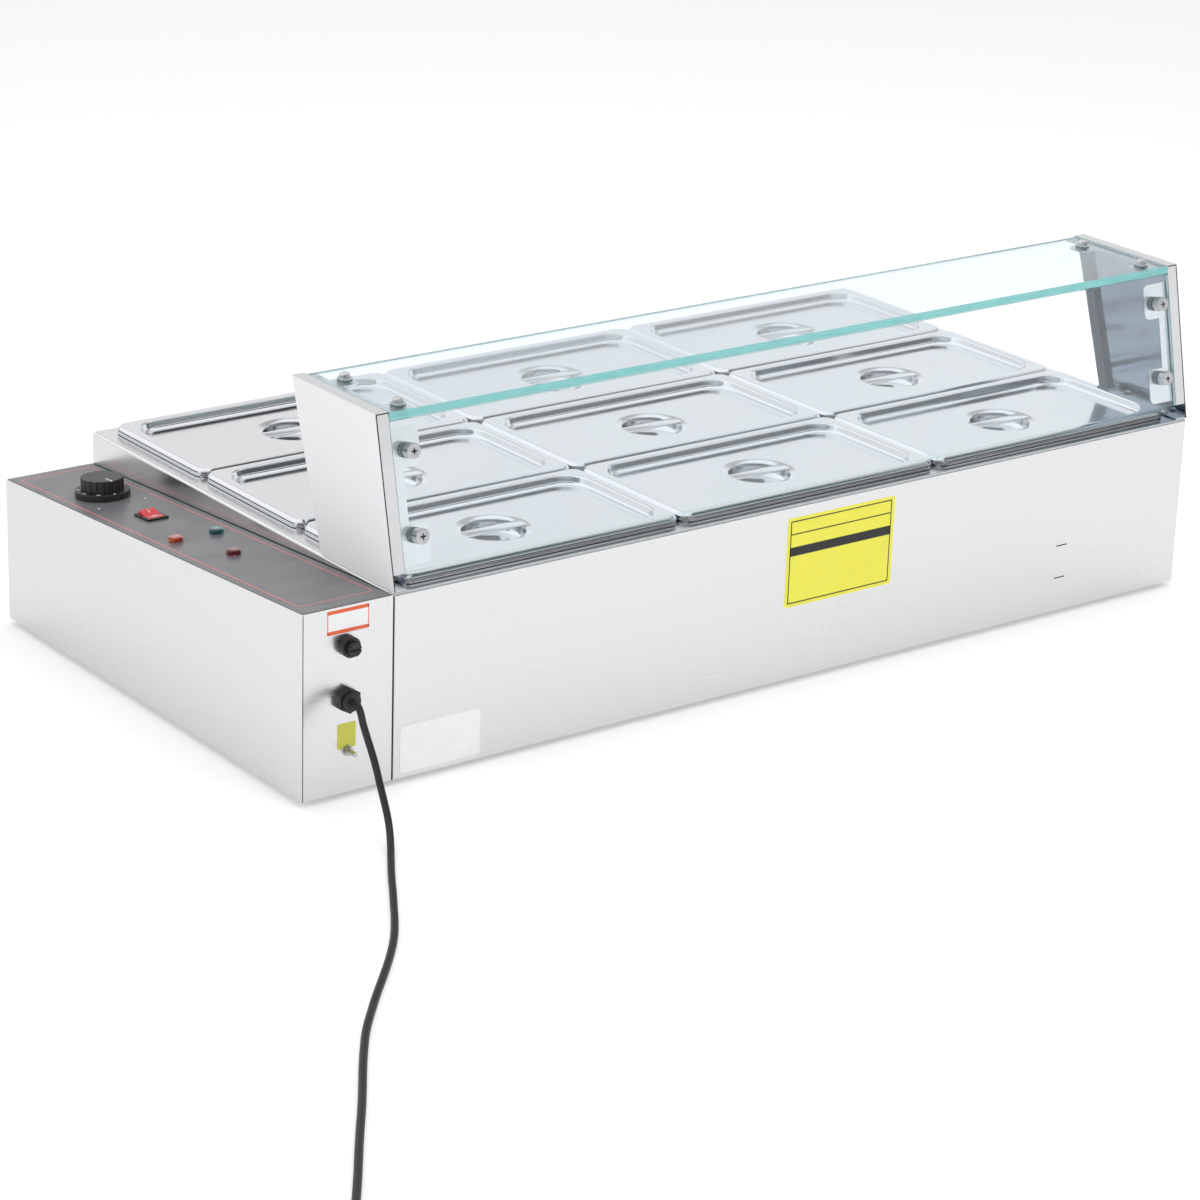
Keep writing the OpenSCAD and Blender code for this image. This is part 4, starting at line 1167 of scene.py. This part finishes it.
TAIL: tuple[Point, ...] = (
    (-476, -715, 6.6), (-475, -724, 4.8), (-473, -734, 1.8), (-470, -745, -1.2), (-467, -757, -2.4),
    (-464, -769, -1.8), (-461.5, -781, 1), (-460, -793, 5.6), (-459.5, -805, 10), (-459.5, -816, 12),
    (-459.5, -824, 12),
)


@dataclass
class SupplyCord:
    """The supply cord: down from its gland, along the floor, and the spare length in a tied coil."""

    diameter: float = 7.0
    outer: float = 44.0
    pitch: float = 8.6
    rise: float = 8.3
    loops: float = 1.75
    steps: int = 24
    length: float = 1.88
    with_it: tuple[str, ...] = ("cord_gland", "cord_tie", "plug_body", "plug_pins")

    def coil(self) -> list[Point]:
        """Give the coil's centre line: in on the floor, up one layer, and out above."""
        start = LEAD[-1]
        centre = (start[0] - self.outer, start[1] - self.diameter, start[2])
        inner = self.outer - self.pitch * self.loops
        points = []
        for i in range(int((2 * self.loops + 0.5) * self.steps) + 1):
            turn = i / self.steps
            angle = -math.tau * turn
            climb = turn - self.loops
            if climb <= 0:
                radius, level = self.outer - self.pitch * turn, 0.0
            elif climb <= 0.5:
                radius, level = inner, self.rise * (1 - math.cos(math.tau * climb)) / 2
            else:
                radius, level = inner + self.pitch * (climb - 0.5), self.rise
            points.append((
                centre[0] + radius * math.cos(angle), centre[1] + radius * math.sin(angle), centre[2] + level,
            ))
        return points

    def build(self, body: BodyFrame) -> bpy.types.Object:
        """Args:
            body: The table's frame.

        Returns:
            The cord.
        """
        points = [body.at(*p) for p in (*LEAD, *self.coil(), *TAIL)]
        curve = bpy.data.curves.new("supply_cord", "CURVE")
        curve.dimensions = "3D"
        curve.resolution_u = 4
        curve.bevel_depth = self.diameter / 2 * MM
        curve.bevel_resolution = 3
        curve.use_fill_caps = True
        line = curve.splines.new("BEZIER")
        line.bezier_points.add(len(points) - 1)
        for point, place in zip(line.bezier_points, points):
            point.co = place
            point.handle_left_type = point.handle_right_type = "AUTO"
        cord = bpy.data.objects.new("supply_cord", curve)
        bpy.context.scene.collection.objects.link(cord)
        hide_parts("cord_lead", "cord_coil", "cord_tail")
        fit(cord, Plastic.CORD.value, "table")
        return cord

    def dress(self) -> None:
        """Dress the pieces that sit on the cord."""
        dress_nodes({
            "cord_gland": Plastic.GLAND, "cord_tie": Plastic.TIE, "plug_body": Plastic.PLUG,
            "plug_pins": Steel.PIN,
        })


@dataclass
class Plate:
    """A thin flat piece: a sticker, a printed bar or an engraved mark."""

    width: float
    height: float
    radius: float = 1.0
    thick: float = 0.15
    corner_steps: int = 5

    def build(self, name: str, place: Matrix) -> bpy.types.Object:
        """Model the plate flat, give it its thickness and put it in place.

        Args:
            name: The piece's name.
            place: The frame of its middle, z away from what it lies on.

        Returns:
            The piece.
        """
        Bench.clear()
        bpy.ops.mesh.primitive_plane_add(size=1.0)
        piece = Bench.take_new(name)
        piece.scale = (self.width * MM, self.height * MM, 1.0)
        bpy.ops.object.transform_apply(location=False, rotation=False, scale=True)
        Bench.edit(piece)
        bpy.ops.mesh.bevel(
            offset=self.radius * MM, segments=self.corner_steps, affect="VERTICES", profile=0.5,
        )
        Bench.thicken(piece, self.thick)
        Bench.put(piece, place)
        return piece


@dataclass(frozen=True)
class Mark:
    """A sticker, a printed rule or a painted shade line on an upright front face."""

    name: str
    finish: Finish
    width: float
    height: float
    x: float
    z: float
    radius: float = 0.3
    thick: float = 0.08
    lift: float = 0.15

    def lay(self, body: BodyFrame) -> None:
        """Build the mark on the front and let it ride on the table.

        Args:
            body: The table's frame.
        """
        plate = Plate(self.width, self.height, self.radius, self.thick)
        piece = plate.build(self.name, body.on_front(self.x, self.z, self.lift))
        fit(piece, self.finish, "table")


@dataclass
class Lid:
    """One pressed lid with its sunken field, finger cup and strap."""

    length: float = 325.0
    width: float = 176.0
    corner: float = 14.0
    rim: float = 6.0
    foot: float = 2.3
    groove: float = 0.7
    groove_foot: float = 1.3
    rim_round: float = 1.3
    sheet: float = 1.0
    field_edge: float = 10.5
    field_corner: float = 31.0
    drop: float = 8.5
    wall: float = math.radians(72.0)
    field_round: float = 2.4
    field_fillet: float = 4.6
    cup: float = 31.0
    shoulder: float = 7.5
    cup_depth: float = 14.0
    fillet: float = 6.0
    ring: float = math.radians(14.0)
    ring_round: float = 5.0
    cup_wall: float = math.radians(78.0)
    cup_lip: float = 2.0
    strap_width: float = 16.0
    strap_thick: float = 1.2
    strap_edge: float = 0.35
    strap_steps: int = 8
    crown: float = 60.0
    around: int = 72
    margin: float = 0.5
    field_margin: float = 0.4
    near: float = 0.1

    @property
    def low(self) -> float:
        """Give the height of the sunken field."""
        return self.rim - self.drop

    @staticmethod
    def arc(radius: float, start: float, end: float, steps: int) -> list[tuple[float, float]]:
        """Give the steps of an arc that an inset follows.

        Args:
            radius: The arc's radius.
            start: The angle of its first tangent below level, in degrees.
            end: The angle of its last tangent below level, in degrees.
            steps: Number of steps.

        Returns:
            Pairs of inward move and rise.
        """
        moves = []
        reach = radius if end > start else -radius
        for i in range(steps):
            a, b = (math.radians(start + (end - start) * k / steps) for k in (i, i + 1))
            moves.append((reach * (math.sin(b) - math.sin(a)), reach * (math.cos(b) - math.cos(a))))
        return moves

    @staticmethod
    def fillet_down(radius: float, start: float, steps: int) -> list[tuple[float, float]]:
        """Give the steps of a hollow arc that ends level.

        Args:
            radius: The arc's radius.
            start: The angle of its first tangent below level, in degrees.
            steps: Number of steps.

        Returns:
            Pairs of inward move and rise.
        """
        return [(abs(inward), -abs(rise)) for inward, rise in Lid.arc(radius, start, 0.0, steps)]

    @staticmethod
    def follow(moves: Iterable[tuple[float, float]]) -> None:
        """Inset the selected face along a run of inward moves and rises."""
        for inward, rise in moves:
            Bench.inset(inward, rise)

    def press_rim(self) -> None:
        """Raise the rim from its foot to the flat border."""
        Bench.rounded_face(self.length, self.width, self.corner, self.foot)
        slope = self.rim - self.foot - self.rim_round
        self.follow(self.arc(self.rim_round, -90.0, -45.0, 3))
        Bench.inset(slope, slope)
        self.follow(self.arc(self.rim_round, -45.0, 0.0, 3))
        Bench.inset(self.margin, 0.0)
        bpy.ops.mesh.delete(type="ONLY_FACE")

    def press_field(self) -> None:
        """Sink the field below the border."""
        edge = 2 * self.field_edge
        Bench.rounded_face(self.length - edge, self.width - edge, self.field_corner, self.rim)
        Bench.inset(self.field_margin, 0.0)
        turn = 1 - math.cos(self.wall)
        fall = self.drop - (self.field_round + self.field_fillet) * turn
        self.follow(self.arc(self.field_round, 0.0, math.degrees(self.wall), 6))
        Bench.inset(fall / math.tan(self.wall), -fall)
        self.follow(self.fillet_down(self.field_fillet, math.degrees(self.wall), 8))
        Bench.inset(self.margin, 0.0)
        bpy.ops.mesh.delete(type="ONLY_FACE")

    def press_cup(self) -> None:
        """Draw the round finger cup below the field."""
        bpy.ops.mesh.primitive_circle_add(
            vertices=self.around, radius=(self.cup + self.shoulder + self.margin) * MM, fill_type="NGON",
            location=(0.0, 0.0, self.low * MM),
        )
        Bench.inset(self.margin, 0.0)
        ring, wall = math.degrees(self.ring), math.degrees(self.cup_wall)
        steps = self.arc(self.ring_round, 0.0, ring, 3)
        lip = self.arc(self.cup_lip, ring, wall, 5)
        flat = self.shoulder - sum(i for i, _ in steps) - sum(i for i, _ in lip)
        steps += [(flat, -flat * math.tan(self.ring))] + lip
        foot = self.fillet_down(self.fillet, wall, 7)
        left = self.cup_depth + sum(r for _, r in steps) + sum(r for _, r in foot)
        self.follow(steps + [(left / math.tan(self.cup_wall), -left)] + foot)
        Bench.inset(self.margin, 0.0)

    def is_foot(self, edge: bmesh.types.BMEdge) -> bool:
        """Tell whether an edge runs round the rim's foot."""
        heights = [v.co.z for v in edge.verts]
        at_foot = max(heights) < (self.foot + self.near) * MM and max(heights) > (self.foot - self.near) * MM
        return edge.is_boundary and at_foot

    def press_groove(self, lid: bpy.types.Object) -> None:
        """Turn the rim's foot in and out again, which leaves a groove above a low band.

        Args:
            lid: The lid in edit mode.
        """
        Bench.pick_edges(lid, self.is_foot)
        tall = self.foot - self.groove_foot
        steps = ((self.groove, 0.0), (0.0, tall), (-self.groove, 0.0), (0.0, self.groove_foot - self.near))
        for inward, down in steps:
            bpy.ops.mesh.extrude_edges_move(TRANSFORM_OT_translate={"value": (0.0, 0.0, -down * MM)})
            shrink = (1 - 2 * inward / self.length, 1 - 2 * inward / self.width, 1.0)
            bpy.ops.transform.resize(value=shrink, center_override=(0.0, 0.0, 0.0))

    def build_shell(self) -> bpy.types.Object:
        """Press the sheet: rolled rim, flat border, sunken field and cup."""
        lid = Bench.empty("pressed_lid")
        self.press_rim()
        self.press_field()
        self.press_cup()
        self.press_groove(lid)
        for level in (self.rim, self.low):
            Bench.pick_edges(
                lid, lambda e, z=level * MM: e.is_boundary and all(abs(v.co.z - z) < 1e-5 for v in e.verts),
            )
            bpy.ops.mesh.bridge_edge_loops()
        Bench.done()
        Bench.outward(lid)
        Bench.modifier(lid, "SOLIDIFY", thickness=self.sheet * MM, offset=-1.0, use_even_offset=True)
        return lid

    def build_strap(self) -> bpy.types.Object:
        """Roll the crowned strap that is welded across the cup."""
        reach = self.cup + self.shoulder / 2
        steps = self.strap_steps
        rows = [self.strap_width * (i / steps - 0.5) for i in range(steps + 1)]
        drops = [math.sqrt(self.crown**2 - y * y) - self.crown for y in rows]
        Bench.clear()
        bpy.ops.mesh.primitive_plane_add(size=1.0)
        strap = Bench.take_new("lid_strap")
        Bench.edit(strap)
        bpy.ops.transform.resize(value=(2 * reach * MM, 1e-3 * MM, 1.0), center_override=(0.0, 0.0, 0.0))
        bpy.ops.mesh.remove_doubles(threshold=1e-5)
        bpy.ops.mesh.select_all(action="SELECT")
        bpy.ops.transform.translate(value=(0.0, rows[0] * MM, (drops[0] + self.low) * MM))
        for i in range(steps):
            move = (0.0, (rows[i + 1] - rows[i]) * MM, (drops[i + 1] - drops[i]) * MM)
            bpy.ops.mesh.select_mode(type="EDGE")
            bpy.ops.mesh.extrude_region_move(TRANSFORM_OT_translate={"value": move})
        Bench.done()
        Bench.outward(strap)
        upward = sum(p.normal.z for p in strap.data.polygons) > 0
        Bench.modifier(
            strap, "SOLIDIFY", thickness=self.strap_thick * MM, offset=-1.0 if upward else 1.0,
            use_even_offset=True,
        )
        Bench.outward(strap)
        Bench.modifier(
            strap, "BEVEL", width=self.strap_edge * MM, segments=2, limit_method="ANGLE",
            angle_limit=math.radians(50),
        )
        return strap

    def build(self) -> bpy.types.Object:
        """Join the sheet and its strap, about the lid's middle, its foot at zero."""
        lid = Bench.join([self.build_shell(), self.build_strap()], "pressed_lid")
        Bench.smooth(lid, 38.0)
        return lid


@dataclass
class PanSet:
    """Nine pans and their lids, in three rows of three."""

    rows: tuple[str, ...] = ("front", "middle", "back")
    columns: tuple[str, ...] = ("left", "centre", "right")
    first: tuple[float, float] = (16.0, 12.4)
    pitch: tuple[float, float] = (327.0, 178.4)
    foot: float = 187.0
    deck: float = 184.0
    # Height of the pan flange's foot band that takes painted shade where it sits on the deck.
    contact: float = 0.7
    pan_edge: float = 0.35
    rim_band: float = 2.0
    near: float = 0.05
    lid: Lid = field(default_factory=Lid)

    def shade_gap(self, piece: bpy.types.Object, middle: Vector, levels: tuple[float, float]) -> None:
        """Paint shade into the narrow gap round a rim with the dark finish.

        Args:
            piece: The lid or pan.
            middle: The middle of the rim's lower edge.
            levels: Heights of the gap's foot and top above the middle, in millimetres.
        """
        reach = [(size / 2 - self.rim_band) * MM for size in (self.lid.length, self.lid.width)]

        def in_gap(face: bmesh.types.BMFace) -> bool:
            """Tell whether a face stands in the gap."""
            away = face.calc_center_median() - middle
            level = (levels[0] - self.near) * MM < away.z < (levels[1] + self.near) * MM
            return level and (abs(away.x) > reach[0] or abs(away.y) > reach[1])

        dress_faces(piece, Plastic.SEAM.value, in_gap)

    def build_cell(self, body: BodyFrame, master: bpy.types.Object, cell: str, x: float, y: float) -> None:
        """Put one lid and one pan in their place and dress them.

        Args:
            body: The table's frame.
            master: The lid that is copied.
            cell: The place's name.
            x: The place's middle along the body.
            y: The place's middle away from the customer.
        """
        lid = Bench.copy(master, f"pressed_lid_{cell}")
        Bench.put(lid, body.shift(x, y, self.foot))
        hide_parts(f"lid_{cell}")
        fit(lid, Steel.LID.value, f"lid_{cell}")
        # Painted shade in the groove under the lid's rim.
        self.shade_gap(lid, body.at(x, y, self.foot), (self.lid.groove_foot, self.lid.foot))
        pan = Bench.softened(f"pan_{cell}", f"gn_pan_{cell}", self.pan_edge)
        Bench.edit(pan)
        top = body.at(x, y, self.deck + self.contact)
        # Cut the flange at the top of the band that takes painted shade.
        bpy.ops.mesh.bisect(plane_co=top, plane_no=(0.0, 0.0, 1.0))
        Bench.done()
        fit(pan, Steel.PAN.value, f"pan_{cell}")
        # Painted shade on the flange's lowest band, where it meets the deck.
        self.shade_gap(pan, body.at(x, y, self.deck), (0.0, self.contact))

    def build(self, body: BodyFrame) -> None:
        """Model one lid, copy it to the nine pans, and dress all.

        Args:
            body: The table's frame.
        """
        master = self.lid.build()
        for j, row in enumerate(self.rows):
            for i, column in enumerate(self.columns):
                x = self.first[0] + (i + 0.5) * self.pitch[0]
                y = self.first[1] + (j + 0.5) * self.pitch[1]
                self.build_cell(body, master, f"{row}_{column}", x, y)
        bpy.data.objects.remove(master)


@dataclass
class BodyShell:
    """The body's casing, base, bars, feet and heaters, and the bare stickers on its front."""

    marks: tuple[Mark, ...] = (
        Mark("sticker_yellow", Plastic.YELLOW.value, 139.0, 94.0, 533.5, 124.0, 3.0, 0.15, 0.0),
        Mark("sticker_rule_top", Plastic.BLACK_INK.value, 131.0, 1.2, 533.5, 167.0),
        Mark("sticker_rule_upper", Plastic.BLACK_INK.value, 131.0, 1.2, 533.5, 153.6),
        Mark("sticker_band", Plastic.BLACK_INK.value, 131.0, 9.4, 533.5, 135.3),
        Mark("sticker_rule_foot", Plastic.BLACK_INK.value, 131.0, 1.2, 533.5, 81.0),
        Mark("sticker_side_left", Plastic.BLACK_INK.value, 1.2, 87.2, 468.5, 124.0),
        Mark("sticker_side_right", Plastic.BLACK_INK.value, 1.2, 87.2, 598.5, 124.0),
        Mark("rating_plate", Plastic.PLATE.value, 90.0, 46.5, 53.0, 28.2, 3.0, 0.4, 0.0),
        Mark("level_line_high", Plastic.BLACK_INK.value, 15.0, 1.2, 841.5, 73.0, 0.4, 0.12, 0.0),
        Mark("level_line_low", Plastic.BLACK_INK.value, 15.0, 1.2, 841.5, 37.0, 0.4, 0.12, 0.0),
    )

    def build(self, body: BodyFrame) -> None:
        """Dress the casing and what is in it, and put on the stickers.

        Args:
            body: The table's frame.
        """
        soften("body_casing", "casing_sheet", 0.0, Steel.SHELL.value, "table")
        dress_nodes({
            "tank_base": Steel.INNER, "column_bars": Steel.INNER, "row_bars": Steel.INNER,
            "rubber_feet": Plastic.FOOT, "heating_elements": Steel.SHEATH, "heater_unions": Steel.BRASS,
            "thermostat_bulb": Steel.COPPER,
        })
        for mark in self.marks:
            mark.lay(body)


@dataclass
class GlassGuard:
    """The guard's two side panels, its two panes and what holds them."""

    lean: float = math.radians(12.0)
    edge: float = 1.0
    strip: float = 14.0
    strip_gap: float = 0.2
    foot: tuple[float, float] = (0.7, 184.5)
    head: tuple[float, float] = (35.0, 346.0)
    shade_line_short: float = 0.8
    shade_line_width: float = 1.2
    cross_width: float = 1.0
    shade_line_thick: float = 0.06
    shade_line_corner: float = 0.3
    square: float = 0.9
    facing: float = 0.7
    recess: tuple[float, float] = (2.6, 0.5)

    @property
    def out(self) -> Vector:
        """Give the direction that the front glass faces."""
        return Vector((0.0, -math.cos(self.lean), math.sin(self.lean)))

    def paint_recess_shade(self, studs: bpy.types.Object) -> None:
        """Paint shade on the bottoms of the studs' cross recesses with the dark finish.

        Args:
            studs: The four studs.
        """
        out = self.out
        head = max(v.co.dot(out) for v in studs.data.vertices)
        deep, near = (head - depth * MM for depth in self.recess)
        # Painted shade: the recess bottoms take the dark finish.
        dress_faces(
            studs, Plastic.SEAM.value,
            lambda f: f.normal.dot(out) > self.facing and deep < f.calc_center_median().dot(out) < near,
        )

    def shade_lines(self, body: BodyFrame, side: str, x: float, inward: float) -> None:
        """Draw painted shade lines along the fold of a panel's front strip and across its top.

        Args:
            body: The table's frame.
            side: The panel's side.
            x: The upright shade line's place along the body.
            inward: 1 where the strip runs to the right of the seam, or -1.
        """
        reach = math.dist(self.foot, self.head) - self.shade_line_short
        turn = Matrix.Rotation(math.radians(90) - self.lean, 4, "X")
        middle = body.shift(x, *((a + b) / 2 for a, b in zip(self.foot, self.head))) @ turn
        top = body.shift(x + inward * self.strip / 2, *self.head) @ turn
        top = top @ Matrix.Translation((0.0, -self.cross_width * MM, 0.0))
        # Thin dark plates: painted shade where the fold and the strip's top stand in shadow.
        for name, width, height, place in (
            (f"guard_seam_{side}", self.shade_line_width, reach, middle),
            (f"guard_seam_top_{side}", self.strip, self.cross_width, top),
        ):
            shade_strip = Plate(width, height, self.shade_line_corner, self.shade_line_thick).build(name, place)
            fit(shade_strip, Plastic.SEAM.value, "table")

    def panel(self, body: BodyFrame, side: str, inward: float) -> None:
        """Soften one side panel, dress its outer faces in a near-white copy of the steel and its inner faces
        in a darker bluish mirror copy, both painted light, and dress its strip and its brackets.

        Args:
            body: The table's frame.
            side: The panel's side.
            inward: 1 where the guard's inside lies to the right of the panel, or -1.
        """
        out = self.out
        panel = soften(
            f"guard_{side}_panel", f"guard_side_{side}", 0.4, Steel.STRIP.value, "table",
        )
        # Painted light: the inner faces take the darker bluish copy and the outer faces the near-white copy.
        dress_faces(panel, Steel.MIRROR.value, lambda f: f.normal.x * inward > self.square)
        dress_faces(panel, Steel.GUARD.value, lambda f: f.normal.x * inward < -self.square)
        outer = 0.0 if inward > 0 else body.length
        behind = body.at(outer + inward * (self.strip + self.strip_gap), 0.0, 0.0).x
        dress_faces(
            panel, Steel.BRACKET.value,
            lambda f: f.normal.dot(out) > self.facing and (f.calc_center_median().x - behind) * inward > 0,
        )
        # Painted shade lines along the front strip's fold and across its top.
        self.shade_lines(body, side, outer + inward * self.edge, inward)

    def build(self, body: BodyFrame) -> None:
        """Dress the guard, with softened copies of its panels, panes and bright screws.

        Args:
            body: The table's frame.
        """
        self.panel(body, "left", 1.0)
        self.panel(body, "right", -1.0)
        for node, name, flat in (
            ("top_glass", "pane_top", Vector((0.0, 0.0, 1.0))), ("front_glass", "pane_front", self.out),
        ):
            pane = soften(node, name, 0.7, GLASS, "table")
            dress_faces(pane, GLASS_EDGE, lambda f, n=flat: abs(f.normal.dot(n)) < self.square)
        for node, name, width in (
            ("front_glass_studs", "pane_studs", 0.4), ("top_glass_screws", "pane_caps", 0.0),
            ("guard_foot_screws", "foot_screws", 0.2),
        ):
            screws = soften(node, name, width, Steel.BOLT.value, "table")
            if node == "front_glass_studs":
                self.paint_recess_shade(screws)
        dress_nodes({"glass_washers": Plastic.WASHER})


@dataclass
class ControlBox:
    """The control box: housing, film, knob, rocker, lamps, fuse, gland and earth stud."""

    middle: float = -50.25
    film_size: tuple[float, float] = (81.5, 528.0)
    film_middle: tuple[float, float] = (-49.75, 283.5)
    film_corner: float = 7.0
    film_line: float = 1.3
    ink: float = 0.1
    knob_y: float = 448.0
    knob_top: float = 18.5
    skirt_top: float = 6.0
    knob_gap: float = 0.8
    numbers: tuple[str, ...] = ("0", "30", "40", "50", "60", "70", "80", "90")
    sweep: float = math.radians(270.0)
    number_size: float = 4.4
    number_reach: float = 24.4
    number_lift: float = 0.06
    number_ink: float = 0.05
    pointer_reach: float = 13.6
    pointer_sink: float = 0.75
    switch_y: float = 352.0
    switch_sink: float = 0.6
    tilt: float = math.radians(11.0)
    rocker_top: float = 3.2
    mark_reach: float = 5.6
    mark_ink: float = 0.08
    ring_radius: float = 2.3
    ring_line: float = 0.85
    marks: tuple[Mark, ...] = (
        Mark("box_sticker", Plastic.WHITE.value, 47.2, 25.0, -50.0, 169.5, 1.5, 0.15, 0.0),
        Mark("box_sticker_top", Plastic.ORANGE.value, 45.0, 3.6, -50.0, 179.4, 0.6),
        Mark("box_sticker_foot", Plastic.ORANGE.value, 45.0, 3.6, -50.0, 159.6, 0.6),
        Mark("box_sticker_left", Plastic.ORANGE.value, 0.9, 22.0, -72.0, 169.5),
        Mark("box_sticker_right", Plastic.ORANGE.value, 0.9, 22.0, -28.0, 169.5),
        # Painted shade: a dark line down the box's front vertical edge.
        Mark("box_edge_shade", Plastic.SEAM.value, 0.9, 182.0, -98.1, 91.4, 0.3, 0.06, 0.0),
        Mark("earth_sticker", Plastic.GREEN.value, 20.0, 25.0, -51.0, 56.5, 1.0, 0.15, 0.0),
    )

    def build(self, body: BodyFrame) -> None:
        """Model and dress the box and everything on it.

        Args:
            body: The table's frame.
        """
        soften("control_housing", "box_housing", 0.6, Steel.SHELL.value, "table")
        dress_nodes({
            "box_gasket": Plastic.GASKET, "control_panel": Plastic.FILM, "housing_base": Steel.INNER,
            "housing_screws": Steel.BOLT, "thermostat_spindle": Steel.SPINDLE, "thermostat": Plastic.BODY,
            "lock_nuts": Plastic.GLAND, "terminal_block": Plastic.IVORY, "earth_stud": Steel.PLATED,
        })
        dress(frame_nodes()["fuse_link"], FUSE_GLASS)
        self.film_print(body)
        self.knob(body)
        self.rocker(body)
        for colour, lens in (("green", Lens.GREEN), ("orange", Lens.ORANGE), ("red", Lens.RED)):
            soften(f"lamp_{colour}", f"indicator_{colour}", 0.0, lens.value, "table")
        soften("fuse_holder", "fuse_carrier", 0.5, Plastic.FUSE.value, "table")
        soften("fuse_cap", "fuse_carrier_cap", 0.5, Plastic.FUSE.value, "fuse_cap")
        for mark in self.marks:
            mark.lay(body)

    def film_print(self, body: BodyFrame) -> None:
        """Print the outline and the two dots on the film.

        Args:
            body: The table's frame.
        """
        ring = Bench.empty("film_outline")
        Bench.rounded_face(*self.film_size, self.film_corner, 0.0)
        Bench.inset(self.film_line, 0.0)
        bpy.ops.mesh.delete(type="FACE")
        Bench.thicken(ring, self.ink)
        Bench.put(ring, body.on_panel(*self.film_middle))
        fit(ring, Plastic.RED_LINE.value, "table")
        for name, x, y in (("low", -77.0, 408.0), ("high", -22.5, 412.5)):
            dot = Plate(2.6, 2.6, 1.25, self.ink).build(f"film_dot_{name}", body.on_panel(x, y))
            fit(dot, Plastic.WHITE_INK.value, "table")

    def dial_number(self, number: str, place: Matrix) -> bpy.types.Object:
        """Print one plain number of the dial.

        Args:
            number: The number.
            place: The frame of its middle.

        Returns:
            The number as a mesh.
        """
        Bench.clear()
        bpy.ops.object.text_add()
        text = bpy.context.active_object.data
        text.body = number
        text.size = self.number_size * MM
        text.align_x, text.align_y = "CENTER", "CENTER"
        text.extrude = self.number_ink * MM
        bpy.ops.object.convert(target="MESH")
        made = Bench.take_new(f"dial_number_{number}")
        Bench.put(made, place)
        return made

    def knob(self, body: BodyFrame) -> None:
        """Soften the knob, print its plain numbers and fill its pointer.

        Args:
            body: The table's frame.
        """
        soften("knob", "dial_knob", 0.4, Plastic.KNOB.value, "knob")
        base = body.on_panel(self.middle, self.knob_y)
        skirt = (self.knob_gap + self.skirt_top + self.number_lift) * MM
        lift = Matrix.Translation((0.0, -self.number_reach * MM, skirt))
        pieces = []
        for i, number in enumerate(self.numbers):
            turn = Matrix.Rotation(-self.sweep * i / (len(self.numbers) - 1), 4, "Z")
            pieces.append(self.dial_number(number, base @ turn @ lift))
        numbers = Bench.join(pieces, "dial_numbers")
        fit(numbers, Plastic.WHITE_INK.value, "knob")
        top = (self.knob_gap + self.knob_top - self.pointer_sink) * MM
        place = base @ Matrix.Translation((0.0, -self.pointer_reach * MM, top))
        line = Plate(1.6, 13.5, 0.3, 0.5).build("dial_pointer", place)
        fit(line, Plastic.WHITE_INK.value, "knob")

    def rocker(self, body: BodyFrame) -> None:
        """Soften the rocker and its frame, and print its two marks.

        Args:
            body: The table's frame.
        """
        soften("rocker", "rocker_button", 0.5, Plastic.ROCKER.value, "rocker")
        soften("rocker_bezel", "rocker_frame", 0.4, Plastic.SWITCH.value, "table")
        base = body.on_panel(self.middle, self.switch_y, -self.switch_sink)
        base = base @ Matrix.Rotation(self.tilt, 4, "X")
        rise = (self.rocker_top + self.mark_reach * math.tan(self.tilt)) * MM
        back, front = (
            base @ Matrix.Translation((0.0, way * self.mark_reach * MM, rise))
            @ Matrix.Rotation(way * self.tilt, 4, "X")
            for way in (1.0, -1.0)
        )
        on_mark = Plate(0.9, 4.6, 0.2, self.mark_ink).build("rocker_mark_on", back)
        Bench.clear()
        bpy.ops.mesh.primitive_circle_add(vertices=40, radius=self.ring_radius * MM, fill_type="NGON")
        off_mark = Bench.take_new("rocker_mark_off")
        Bench.edit(off_mark)
        Bench.inset(self.ring_line, 0.0)
        bpy.ops.mesh.delete(type="FACE")
        Bench.thicken(off_mark, self.mark_ink)
        Bench.put(off_mark, front)
        for mark in (on_mark, off_mark):
            fit(mark, Plastic.WHITE_INK.value, "rocker")


def main() -> None:
    """Build the table's looks in order."""
    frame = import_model()
    CAD["nodes"] = frame["nodes"]
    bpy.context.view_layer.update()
    Bench.clear()
    body = BodyFrame.from_cad()
    PhotoCamera().build(body)
    cord = SupplyCord()
    cord.build(body)
    cord.dress()
    BodyShell().build(body)
    PanSet().build(body)
    GlassGuard().build(body)
    ControlBox().build(body)
    Studio().build()
    Bench.clear()


if __name__ == "__main__":
    logging.basicConfig(level=logging.INFO, format="%(message)s")
    main()
